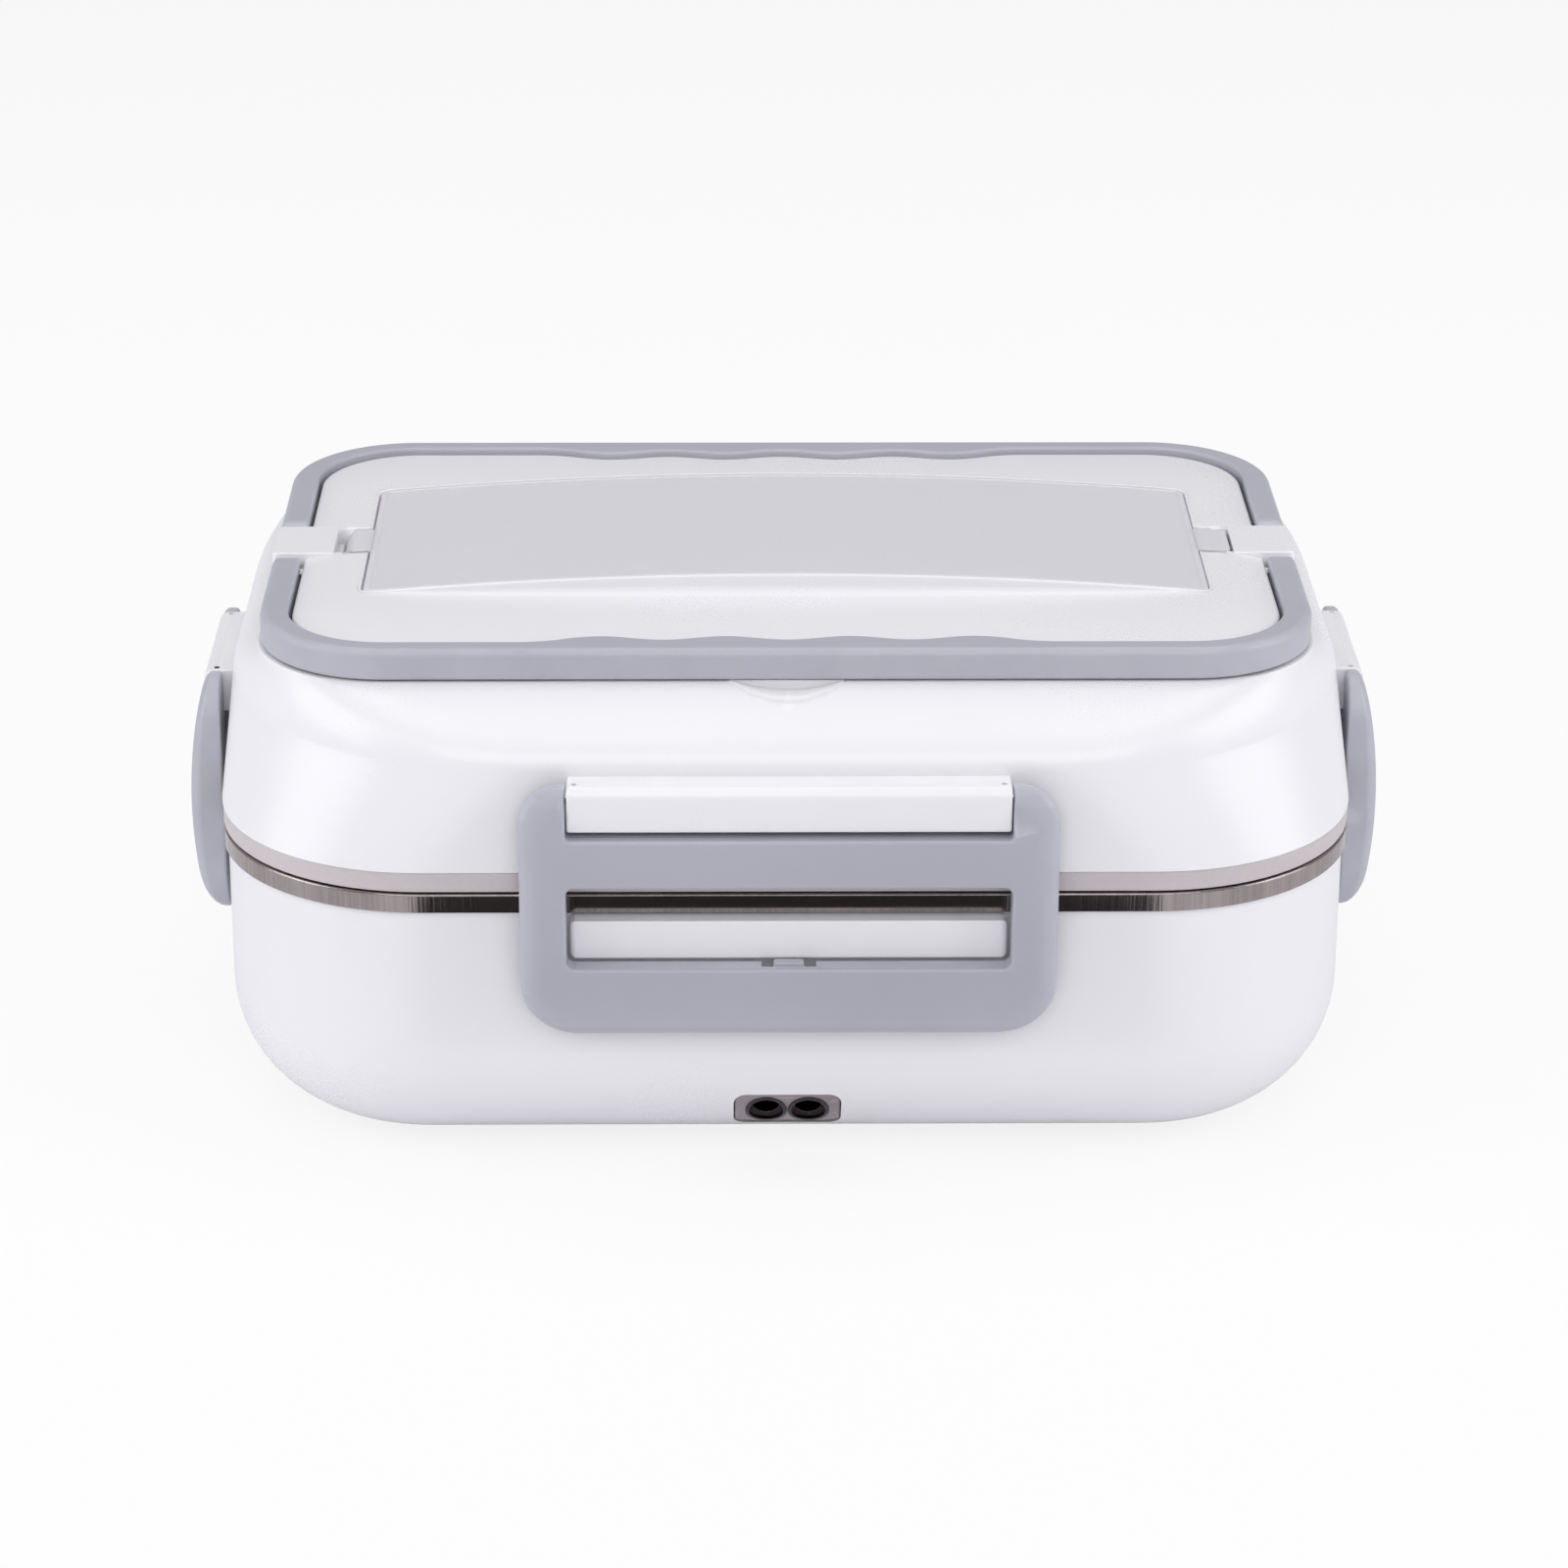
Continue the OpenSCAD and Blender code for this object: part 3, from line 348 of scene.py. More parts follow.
@dataclass
class Draft:
    """Vertices in millimetres and faces that become one mesh piece."""

    mesh: bmesh.types.BMesh = field(default_factory=bmesh.new)

    def loft(
        self, rings: Sequence[np.ndarray], caps: tuple[bool, bool] = (True, True), closed: bool = False
    ) -> "Draft":
        """Skin a row of rings that have the same number of points.

        Args:
            rings: Rows of x, y and z for each ring.
            caps: Whether the first and the last ring are filled.
            closed: Whether the last ring joins the first.

        Returns:
            This draft.
        """
        made = [[self.mesh.verts.new(p) for p in ring] for ring in rings]
        pairs = list(zip(made, made[1:])) + ([(made[-1], made[0])] if closed else [])
        for low, high in pairs:
            for i in range(len(low)):
                j = (i + 1) % len(low)
                self.mesh.faces.new((low[i], low[j], high[j], high[i]))
        if caps[0] and not closed:
            self.mesh.faces.new(list(reversed(made[0])))
        if caps[1] and not closed:
            self.mesh.faces.new(made[-1])
        return self

    def skins(self, outer: list[np.ndarray], inner: list[np.ndarray], name: str) -> Piece:
        """Build a shell from two skins that share a rim.

        Args:
            outer: Rings of the first skin, whose last ring is filled.
            inner: Rings of the second skin, whose first ring is filled.
            name: The piece's name.

        Returns:
            The new object.
        """
        self.loft(outer, caps=(False, True)).loft(inner, caps=(True, False))
        bmesh.ops.remove_doubles(self.mesh, verts=self.mesh.verts[:], dist=WELD)
        return self.build(name)

    def plate(
        self,
        loops: Sequence[Loop],
        back: float,
        front: float,
        place: Place,
        back_edge: float = 0.4,
        profile: Sequence[Pair] = ROUND_EDGE,
        cuts: Sequence[tuple[int, np.ndarray]] = (),
        back_loops: "Sequence[Loop] | None" = None,
    ) -> "Draft":
        """Add a plate with rounded edges, bent by a placing function.

        Args:
            loops: The outer outline first, then the holes.
            back: Level of the back face.
            front: Level of the front face.
            place: Moves flat points (two plan numbers and a level) to the row frame.
            back_edge: Width and depth of the rounded back edge.
            profile: Shares of the edge's width and depth from the side to the front face.
            cuts: Plan axis and levels at which faces are cut, so that a bend stays smooth.
            back_loops: The same outlines with other edge sizes, for the back.

        Returns:
            This draft.
        """
        work = bmesh.new()
        front_edges, back_edges = [], []
        for index, loop in enumerate(loops):
            flat = np.array(loop.points)
            offset, depth = loop.insets()
            rings = []
            if back_loops is None:
                unit = offset / np.maximum(np.linalg.norm(offset, axis=1), 1e-6)[:, None]
                back_offset, back_depth = unit * back_edge, np.full(len(flat), back_edge)
            else:
                back_offset, back_depth = back_loops[index].insets()
            for share_w, share_h in reversed(ROUND_EDGE[::2]):
                rings.append(np.column_stack([flat + back_offset * share_w, back + back_depth * share_h]))
            for share_w, share_h in profile:
                rings.append(np.column_stack([flat + offset * share_w, front - depth * share_h]))
            made = [[work.verts.new(p) for p in ring] for ring in rings]
            for low, high in zip(made, made[1:]):
                for i in range(len(low)):
                    j = (i + 1) % len(low)
                    work.faces.new((low[i], low[j], high[j], high[i]))
            count = len(flat)
            back_edges += [work.edges.get((made[0][i], made[0][(i + 1) % count])) for i in range(count)]
            front_edges += [work.edges.get((made[-1][i], made[-1][(i + 1) % count])) for i in range(count)]
        for edges in (back_edges, front_edges):
            bmesh.ops.triangle_fill(work, use_beauty=True, use_dissolve=False, edges=edges)
        for axis, levels in cuts:
            normal = Vector((1, 0, 0)) if axis == 0 else Vector((0, 1, 0))
            for level in levels:
                geom = work.verts[:] + work.edges[:] + work.faces[:]
                bmesh.ops.bisect_plane(work, geom=geom, dist=WELD, plane_co=normal * level, plane_no=normal)
        moved = place(np.array([v.co[:] for v in work.verts], float))
        for vert, co in zip(work.verts, moved):
            vert.co = co
        self.merge(work)
        return self

    def merge(self, other: bmesh.types.BMesh) -> None:
        """Take over the faces of another mesh."""
        bmesh.ops.recalc_face_normals(other, faces=other.faces[:])
        scratch = bpy.data.meshes.new("scratch")
        other.to_mesh(scratch)
        other.free()
        self.mesh.from_mesh(scratch)
        bpy.data.meshes.remove(scratch)

    def lathe(self, section: Sequence[Pair], place: Place, steps: int = 48) -> "Draft":
        """Turn a section of (radius, level) about an axis; place puts (x, y, level) points."""
        angles = np.linspace(0, 2 * math.pi, steps, endpoint=False)
        rings = []
        for r, level in section:
            flat = np.column_stack([r * np.cos(angles), r * np.sin(angles), np.full(steps, level)])
            rings.append(place(flat))
        return self.loft(rings)

    def build(self, name: str) -> Piece:
        """Make the object, smooth where its faces meet gently.

        Args:
            name: The piece's name.

        Returns:
            The new object, linked to the scene.
        """
        bmesh.ops.recalc_face_normals(self.mesh, faces=self.mesh.faces[:])
        data = bpy.data.meshes.new(name)
        self.mesh.to_mesh(data)
        self.mesh.free()
        data.transform(Matrix.Scale(MM, 4))
        piece = bpy.data.objects.new(name, data)
        bpy.context.scene.collection.objects.link(piece)
        smooth(piece)
        return piece


def smooth(piece: Piece) -> None:
    """Shade a piece smooth, apart from edges sharper than the smoothing angle."""
    piece.data.shade_smooth()
    piece.data.set_sharp_from_angle(angle=SMOOTH_ANGLE)
    if "face_weight" not in piece.modifiers:
        weight = piece.modifiers.new("face_weight", "WEIGHTED_NORMAL")
        weight.keep_sharp = True


def carve(piece: Piece, cutters: Sequence[Piece]) -> None:
    """Cut other solids out of a piece and remove them.

    Args:
        piece: The solid that is cut.
        cutters: The solids that are taken away.
    """
    piece.modifiers.clear()
    for cutter in cutters:
        cut = piece.modifiers.new("cut", "BOOLEAN")
        cut.operation = "DIFFERENCE"
        cut.solver = "EXACT"
        cut.object = cutter
    graph = bpy.context.evaluated_depsgraph_get()
    data = bpy.data.meshes.new_from_object(piece.evaluated_get(graph))
    piece.modifiers.clear()
    old = piece.data
    piece.data = data
    bpy.data.meshes.remove(old)
    for cutter in cutters:
        bpy.data.objects.remove(cutter)
    smooth(piece)


def cutter(name: str, rows: Sequence[Row], back: float, front: float, place: Place, steps: int = 10) -> Piece:
    """A plate for cutting.

    Args:
        name: Object name.
        rows: Corners of its outline.
        back: Level of the back face.
        front: Level of the front face.
        place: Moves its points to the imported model's frame.
        steps: Segments in a rounded corner.

    Returns:
        The new object.
    """
    return Draft().plate([Loop().corners(rows, steps)], back, front, place, back_edge=CUT_EDGE[0]).build(name)


# --------------------------------------------------------------------------- finishes


class Tree:
    """Small helper that adds and joins shader nodes."""

    def __init__(self, tree: bpy.types.NodeTree) -> None:
        """Work on a material's or a group's node tree."""
        self.tree = tree

    def add(self, kind: str, inputs: "dict[str | int, object] | None" = None, **settings: object) -> Node:
        """Add a node.

        Args:
            kind: Blender's node type without the "ShaderNode" prefix.
            inputs: Values or sockets for its inputs.
            **settings: Properties of the node.

        Returns:
            The node.
        """
        node = self.tree.nodes.new("ShaderNode" + kind)
        for key, value in settings.items():
            setattr(node, key, value)
        for key, value in (inputs or {}).items():
            if isinstance(value, bpy.types.NodeSocket):
                self.tree.links.new(value, node.inputs[key])
            else:
                node.inputs[key].default_value = value
        return node

    def math(self, operation: str, a: object, b: object = 0.0) -> Socket:
        """Add a clamped math node and give its result."""
        return self.add("Math", {0: a, 1: b}, operation=operation, use_clamp=True).outputs[0]

    def mix(self, factor: object, a: object, b: object) -> Socket:
        """Mix two colours and give the result."""
        return self.add("Mix", {0: factor, 6: a, 7: b}, data_type="RGBA").outputs[2]

    def span(
        self, value: Socket, low: object, high: object, to_low: float = 0.0, to_high: float = 1.0
    ) -> Socket:
        """Map a value from one range to another."""
        inputs = {"Value": value, "From Min": low, "From Max": high, "To Min": to_low, "To Max": to_high}
        return self.add("MapRange", inputs).outputs[0]

    def noise(self, where: Socket, scale: object, detail: float, distortion: float = 0.0) -> Socket:
        """Add a noise texture and give its value."""
        inputs = {"Vector": where, "Scale": scale, "Detail": detail, "Distortion": distortion}
        return self.add("TexNoise", inputs).outputs["Fac"]

    def weigh(self, a: Socket, b: Socket, share: float) -> Socket:
        """Add two masks, the first by its share and the second by the rest."""
        return self.math("ADD", self.math("MULTIPLY", a, share), self.math("MULTIPLY", b, 1 - share))


class Effect(Enum):
    """Surface effects that several finishes share, each a node group."""

    MOULD_GRAIN = "mould_grain"
    # painted highlight on pointed edges
    EDGE_TOUCH = "edge_touch"
    BRUSHING = "brushing"
    HANDLING = "handling"

    def group(self) -> bpy.types.NodeTree:
        """The effect's node group, built once."""
        found = bpy.data.node_groups.get(self.value)
        if found:
            return found
        tree = bpy.data.node_groups.new(self.value, "ShaderNodeTree")
        build, inputs, outputs = EFFECTS[self]
        for name, value in inputs.items():
            socket = tree.interface.new_socket(name, in_out="INPUT", socket_type="NodeSocketFloat")
            socket.default_value = value
        for name in outputs:
            tree.interface.new_socket(name, in_out="OUTPUT", socket_type="NodeSocketFloat")
        start, end, t = tree.nodes.new("NodeGroupInput"), tree.nodes.new("NodeGroupOutput"), Tree(tree)
        made = build(t, t.add("TexCoord").outputs["Object"], *start.outputs[: len(inputs)])
        for name, socket in zip(outputs, made):
            tree.links.new(socket, end.inputs[name])
        return tree

    def use(self, tree: Tree, **values: float) -> Node:
        """Place the effect in a material.

        Args:
            tree: The material's tree.
            **values: The effect's inputs by name.

        Returns:
            The group node.
        """
        node = tree.add("Group")
        node.node_tree = self.group()
        for key, value in values.items():
            node.inputs[key].default_value = value
        return node


def _mould_grain(t: Tree, where: Socket, grain: Socket, flow: Socket) -> tuple[Socket, ...]:
    """Fine moulded grain over a slow flow variation."""
    fine = t.noise(where, grain, 2.0)
    wide = t.span(t.noise(where, flow, 3.0), 0.35, 0.65)
    return t.weigh(wide, t.span(fine, 0.3, 0.7), 0.7), fine


def _edge_touch(t: Tree, where: Socket, reach: Socket, breakup: Socket) -> tuple[Socket, ...]:
    """Painted highlight: edges lightened where the surface is pointed, broken up by noise."""
    point = t.add("NewGeometry").outputs["Pointiness"]
    edge = t.span(point, 0.5, t.math("ADD", 0.5, reach))
    return (t.math("MULTIPLY", edge, t.span(t.noise(where, breakup, 3.0), 0.3, 0.6, 0.45)),)


def _brushing(t: Tree, where: Socket, lines: Socket, streaks: Socket) -> tuple[Socket, ...]:
    """Fine upright brush lines, with longer soft streaks."""
    squashed = t.add("Mapping", {"Vector": where, "Scale": (1.0, 1.0, 0.025)}).outputs[0]
    fine = t.span(t.noise(squashed, lines, 3.0), 0.3, 0.7)
    return t.weigh(fine, t.span(t.noise(squashed, streaks, 2.0), 0.35, 0.65), 0.6), fine


def _handling(t: Tree, where: Socket, smudge: Socket, cover: Socket) -> tuple[Socket, ...]:
    """Faint smudges left by hands."""
    return (t.span(t.noise(where, smudge, 5.0, 0.6), cover, t.math("ADD", cover, 0.15)),)


EFFECTS = {
    Effect.MOULD_GRAIN: (_mould_grain, {"Grain": 2600.0, "Flow": 14.0}, ("Mask", "Height")),
    # painted highlight on pointed edges
    Effect.EDGE_TOUCH: (_edge_touch, {"Reach": 0.06, "Breakup": 90.0}, ("Mask",)),
    Effect.BRUSHING: (_brushing, {"Lines": 1500.0, "Streaks": 60.0}, ("Mask", "Height")),
    Effect.HANDLING: (_handling, {"Smudge": 22.0, "Cover": 0.55}, ("Mask",)),
}


@dataclass(frozen=True)
class Finish:
    """Procedural finish: two tones under an effect, a painted edge highlight, smudged roughness, bump and
    shader values.
    """

    slot: str
    base: Tone
    shade: Tone
    rough: Pair
    bump: float
    effect: Effect
    pattern: dict[str, float]
    smudges: dict[str, float]
    smudge_share: float
    settings: dict[str, object]
    # tone and strength of the painted highlight on pointed edges
    edge: "Tone | None" = None
    highlight_share: float = 0.6
    bump_depth: float = 0.0002

    def material(self) -> bpy.types.Material:
        """Build the procedural material."""
        made, t, shader = new_material(self.slot)
        pattern = self.effect.use(t, **self.pattern).outputs
        hands = Effect.HANDLING.use(t, **self.smudges).outputs["Mask"]
        colour = t.mix(pattern["Mask"], srgb(*self.base), srgb(*self.shade))
        # painted highlight: pointed edges drawn towards the edge tone
        if self.edge:
            edge = t.math("MULTIPLY", Effect.EDGE_TOUCH.use(t).outputs["Mask"], self.highlight_share)
            colour = t.mix(edge, colour, srgb(*self.edge))
        mottle = t.math("ADD", pattern["Mask"], t.math("MULTIPLY", hands, self.smudge_share))
        inputs = {"Strength": self.bump, "Distance": self.bump_depth, "Height": pattern["Height"]}
        t.tree.links.new(colour, shader.inputs["Base Color"])
        t.tree.links.new(t.span(mottle, 0.0, 1.0, *self.rough), shader.inputs["Roughness"])
        t.tree.links.new(t.add("Bump", inputs).outputs[0], shader.inputs["Normal"])
        for name, value in self.settings.items():
            shader.inputs[name].default_value = value
        return made


def plastic(
    slot: str, base: Tone, shade: Tone, edge: Tone, rough: Pair = (0.28, 0.38), grain: float = 2600.0,
    bump: float = 0.04, coat: float = 0.0, scatter: float = 0.0,
) -> Finish:
    """Moulded plastic: grain, slow flow marks, painted highlights on edges and faint smudges.

    Args:
        slot: Material slot.
        base: Main tone.
        shade: Second tone.
        edge: Tone of the painted highlight on edges.
        rough: Least and greatest roughness.
        grain: Scale of the moulded grain.
        bump: Strength of the bump.
        coat: Weight of the gloss coat.
        scatter: Weight of the light that spreads under the surface.

    Returns:
        The finish.
    """
    settings = {"Coat Weight": coat, "Coat Roughness": 0.12}
    if scatter > 0:
        settings |= soft(scatter, 0.9, 0.002)
    pattern = {"Grain": grain}
    return Finish(slot, base, shade, rough, bump, Effect.MOULD_GRAIN, pattern, {}, 0.25, settings, edge)


def metal(
    slot: str, base: Tone, shade: Tone, rough: Pair, lines: float = 1500.0,
    bump: float = 0.12, anisotropic: float = 0.0,
) -> Finish:
    """Bare metal: brush lines or a fine grain, streaks and smudges."""
    settings = {"Metallic": 1.0, "Anisotropic": anisotropic}
    pattern, smudges = {"Lines": lines}, {"Smudge": 35.0}
    return Finish(slot, base, shade, rough, bump, Effect.BRUSHING, pattern, smudges, 0.3, settings)


def milky(slot: str, base: Tone, shade: Tone, rough: Pair = (0.3, 0.42)) -> Finish:
    """Thin milky plastic or silicone that lets some light through."""
    pattern, smudges = {"Grain": 1800.0, "Flow": 9.0}, {"Smudge": 60.0, "Cover": 0.6}
    settings = soft(0.35, 0.95, 0.003)
    return Finish(slot, base, shade, rough, 0.05, Effect.MOULD_GRAIN, pattern, smudges, 1.0, settings)


def soft(weight: float, other: float, scale: float) -> dict[str, object]:
    """Shader values for light that spreads under a surface.

    Args:
        weight: Its weight.
        other: Reach of green and blue against red.
        scale: Reach in metres.

    Returns:
        The values by the names of the shader's sockets.
    """
    return {
        "Subsurface Weight": weight,
        "Subsurface Radius": (1.0, other, other),
        "Subsurface Scale": scale,
    }


def new_material(name: str) -> tuple[bpy.types.Material, Tree, Node]:
    """Start a material and give it with its tree and its Principled shader."""
    made = bpy.data.materials.new(name)
    made.use_nodes = True
    return made, Tree(made.node_tree), made.node_tree.nodes["Principled BSDF"]


# each plastic's third tone is the painted highlight on its pointed edges
FINISHES: tuple[Finish, ...] = (
    plastic("white_plastic", (234, 233, 236), (231, 230, 233), (243, 243, 245), (0.26, 0.34),
            bump=0.02, coat=0.12, scatter=0.08),
    plastic("tub_plastic", (226, 226, 230), (219, 219, 224), (236, 236, 240)),
    plastic("grey_plastic", (173, 173, 183), (167, 167, 178), (204, 205, 213), (0.36, 0.46), 3200.0, 0.06),
    milky("cover_plastic", (219, 217, 222), (213, 211, 216)),
    milky("silicone", (204, 196, 198), (192, 184, 187), (0.38, 0.5)),
    metal("steel", (172, 162, 160), (140, 130, 129), (0.09, 0.2), bump=0.08, anisotropic=0.3),
    metal("plate_metal", (205, 205, 206), (186, 186, 188), (0.3, 0.42), 700.0),
    metal("hardware", (196, 196, 200), (176, 176, 181), (0.2, 0.32), 900.0),
    plastic("dark_plastic", (152, 138, 144), (116, 102, 108), (190, 180, 186), (0.2, 0.32), 1400.0, 0.1, 0.3),
    metal("contact_metal", (190, 172, 150), (150, 130, 108), (0.24, 0.36), 900.0),
    plastic("wire_red", (160, 34, 30), (140, 26, 24), (190, 70, 60)),
    plastic("wire_blue", (34, 62, 146), (26, 50, 124), (70, 96, 170)),
    plastic("wire_white", (230, 228, 220), (214, 212, 204), (240, 240, 236)),
    plastic("phenolic", (30, 22, 23), (22, 16, 17), (46, 38, 38), (0.3, 0.45)),
    plastic("foot_rubber", (104, 104, 110), (90, 90, 96), (122, 122, 128), (0.6, 0.75), 1600.0, 0.15),
)


class Wardrobe:
    """Builds each finish once and dresses pieces with it."""

    def __init__(self, finishes: Sequence[Finish]) -> None:
        """Build the materials."""
        self.made = {finish.slot: finish.material() for finish in finishes}

    def dress(self, piece: Piece, slot: str, body: str, *nodes: str) -> None:
        """Give a new piece its finish, its body and the nodes that it stands for.

        Args:
            piece: The new piece.
            slot: Material slot.
            body: Body that it rides on.
            *nodes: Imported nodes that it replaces.
        """
        piece.data.materials.clear()
        piece.data.materials.append(self.made[slot])
        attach(piece, body)
        if nodes:
            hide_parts(*nodes)
        LOG.info("%s rides on %s in %s, for %s", piece.name, body, slot, ", ".join(nodes) or "no node")

    def dress_nodes(self) -> None:
        """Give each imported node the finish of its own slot."""
        for row in frame["record"]["subparts"]:
            node = frame["nodes"][row["node"]]
            if not node.material_slots:
                node.data.materials.append(None)
            for place in node.material_slots:
                place.material = self.made[row["material_slot"]]
            LOG.info("%s dressed in %s", row["node"], row["material_slot"])


# --------------------------------------------------------------------------- base


@dataclass
class Base:
    """Outer shell with its catches, the well's lip, and the mains inlet."""

    wardrobe: Wardrobe
    rebate: float = 1.2
    catch_h: float = 8.1
    catch_out: float = 4.3
    catch_drop: float = 0.4
    catch_room: float = 1.2
    bore: float = 8.0
    floor_z: float = 22.0
    well_r: float = 15.0
    well_t: float = 2.0
    lip_in: float = 1.25
    ridge_h: float = 3.3
    inlet_hw: float = 10.75
    inlet_hh: float = 5.1
    inlet_z: float = 12.1
    pin_pitch: float = 8.6
    socket_r: float = 3.6
    socket_y: float = -65.5

    def build(self) -> None:
        """Build and dress every piece of the base."""
        self.shell()
        self.tub()
        self.inlet()
        self.feet()

    def shell(self) -> None:
        """Outer shell up to its rounded rim, cut for the inlet, with four catches."""
        s = SIZES
        top, seat_z, inner_z, middle = s.rim_z, s.rim_z - s.lip_t, s.under_z + s.wall, s.fillet + 12
        outer = WALL.stack([(0.35, top), (0.1, top - 0.1)])
        outer += WALL.stack([(0.0, z) for z in np.linspace(top - 0.35, s.under_z + s.fillet, 12)[:-1]])
        outer += WALL.foot(0.0, s.under_z, s.fillet) + WALL.stack([(middle, s.under_z)])
        inner = WALL.stack([(middle, inner_z)]) + WALL.foot(s.wall, inner_z, s.fillet - s.wall)[::-1]
        inner += WALL.stack([(s.wall, seat_z), (self.rebate, seat_z), (self.rebate, top - 0.2)])
        inner += WALL.stack([(self.rebate - 0.2, top)]) + outer[:1]
        shell = Draft().skins(outer, inner, "base_outer_shell")
        w, h = self.inlet_hw + 0.2, self.inlet_hh + 0.2
        hole = Loop().corners(rectangle(-w, -h, w, h, 2.6, (0.1, 0.1)))
        cut = Draft().plate([hole], -92.0, -52.0, lambda p: upright(p) + np.array([0, 0, self.inlet_z]))
        carve(shell, [cut.build("inlet_cut")])
        self.wardrobe.dress(shell, "white_plastic", "base", "base_shell")
        for side in Side:
            self.catch(side)

    def catch(self, side: Side) -> None:
        """Rounded bar that a latch closes over."""
        half = (side.latch_width - 2 * SIZES.post_w - self.catch_room) / 2
        hh = self.catch_h / 2
        middle = SIZES.rim_z - self.catch_drop - hh
        ends = ((-1, -1, 0.4), (1, -1, 1.1), (1, 1, 0.4), (-1, 1, 1.1))
        rows = [(x * half, middle + z * hh, 1.2, edge, 0.9 * edge) for x, z, edge in ends]
        draft = Draft().plate([Loop().corners(rows)], -1.2, self.catch_out, side.place)
        self.wardrobe.dress(draft.build(f"{side.label}_catch"), "white_plastic", "base")

    def tub(self) -> None:
        """Heated well with its lip on the outer wall and the ridge under the container."""
        rim, seat_z = SIZES.rim_z, SIZES.rim_z - SIZES.lip_t
        ridge, lip, ridge_in, bore = rim + self.ridge_h, self.lip_in, 1.6, self.bore
        rows = [(lip, seat_z), (lip, rim - 0.1), (lip + 0.1, rim), (ridge_in, rim + 0.1)]
        rows += [(ridge_in, ridge - 0.4), (2.0, ridge), (bore - 0.5, ridge), (bore, ridge - 0.5)]
        rows += [(bore, z) for z in np.linspace(ridge - 6, self.floor_z + self.well_r, 6)]
        down = WALL.stack(rows) + WALL.foot(bore, self.floor_z, self.well_r, 10)[1:]
        t = self.well_t
        up = WALL.foot(bore - t, self.floor_z - t, self.well_r + t, 10)[::-1]
        tub = Draft().skins(down, up + WALL.stack([(bore - t, seat_z), (lip, seat_z)]), "well_with_lip")
        window = Plan(45, 25, 4, 2, 2, 8)
        carve(tub, [Draft().loft([window.ring(18), window.ring(24)]).build("window_cut")])
        self.wardrobe.dress(tub, "tub_plastic", "base", "inner_tub")

    def on_foot(self, p: np.ndarray) -> np.ndarray:
        """Put (x, height, out) points on the rounded foot of the front wall."""
        r = SIZES.fillet
        z = np.clip(p[:, 1], SIZES.under_z, SIZES.under_z + r)
        sine = (SIZES.under_z + r - z) / r
        inset = r * (1 - np.sqrt(np.clip(1 - sine * sine, 0, 1)))
        return np.column_stack([p[:, 0], -(SIZES.half_d - inset + p[:, 2]), p[:, 1]])

    def inlet(self) -> None:
        """Mains inlet: dark surround on the rounded foot, two wells with lips, and cups."""
        w, h, z, r = self.inlet_hw, self.inlet_hh, self.inlet_z, self.socket_r
        edge = (0.7, 0.6)
        rows = [(-w, z - h, 2.0, *edge), (w, z - h, 2.0, *edge)]
        rows += [(w, z + h, 2.6, *edge), (-w, z + h, 2.6, *edge)]
        levels = [(1, np.linspace(z - h, z + h, 9)[1:-1])]
        centres = {"left": -self.pin_pitch / 2, "right": self.pin_pitch / 2}
        wells = [Loop(is_hole=True).circle(x, z, r, 0.35, 0.35) for x in centres.values()]
        face = Draft().plate([Loop().corners(rows), *wells], -6.0, -0.5, self.on_foot, cuts=levels)
        self.wardrobe.dress(face.build("inlet_surround"), "dark_plastic", "base", "inlet_housing")
        for label, x in centres.items():
            rim = Loop().circle(x, z, r + 0.65, 0.25, 0.25)
            mouth = Loop(is_hole=True).circle(x, z, r - 0.1, 0.2, 0.2)
            lip = Draft().plate([rim, mouth], -2.0, -0.1, self.on_foot, cuts=levels)
            self.wardrobe.dress(lip.build(f"inlet_lip_{label}"), "phenolic", "base")
            bore, front, back, axis = r - 0.05, -72.0, self.socket_y, np.array([x, 0, z])
            tube = [(bore, front), (bore, back), (bore + 0.6, back), (bore + 0.6, front)]
            cup = Draft()
            for section in (tube, [(bore + 0.3, back - 0.4), (bore + 0.3, back + 0.8)]):
                cup.lathe(section, lambda p, at=axis: upright(p) + at)
            self.wardrobe.dress(cup.build(f"inlet_well_{label}"), "tub_plastic", "base")

    def feet(self) -> None:
        """Four turned rubber feet with rounded edges."""
        draft = Draft()
        section = [(4.4, 1.2), (4.6, 0.35), (5.0, 0.05), (6.3, 0.0)]
        section += [(7.1, 0.25), (7.5, 0.9), (7.5, 2.2), (4.4, 2.2)]
        for sx in (-1, 1):
            for sy in (-1, 1):
                draft.lathe(section, lambda p, x=sx * 72.0, y=sy * 42.0: p + np.array([x, y, 0.0]), 40)
        self.wardrobe.dress(draft.build("feet"), "foot_rubber", "base", "rubber_feet")


# --------------------------------------------------------------------------- container


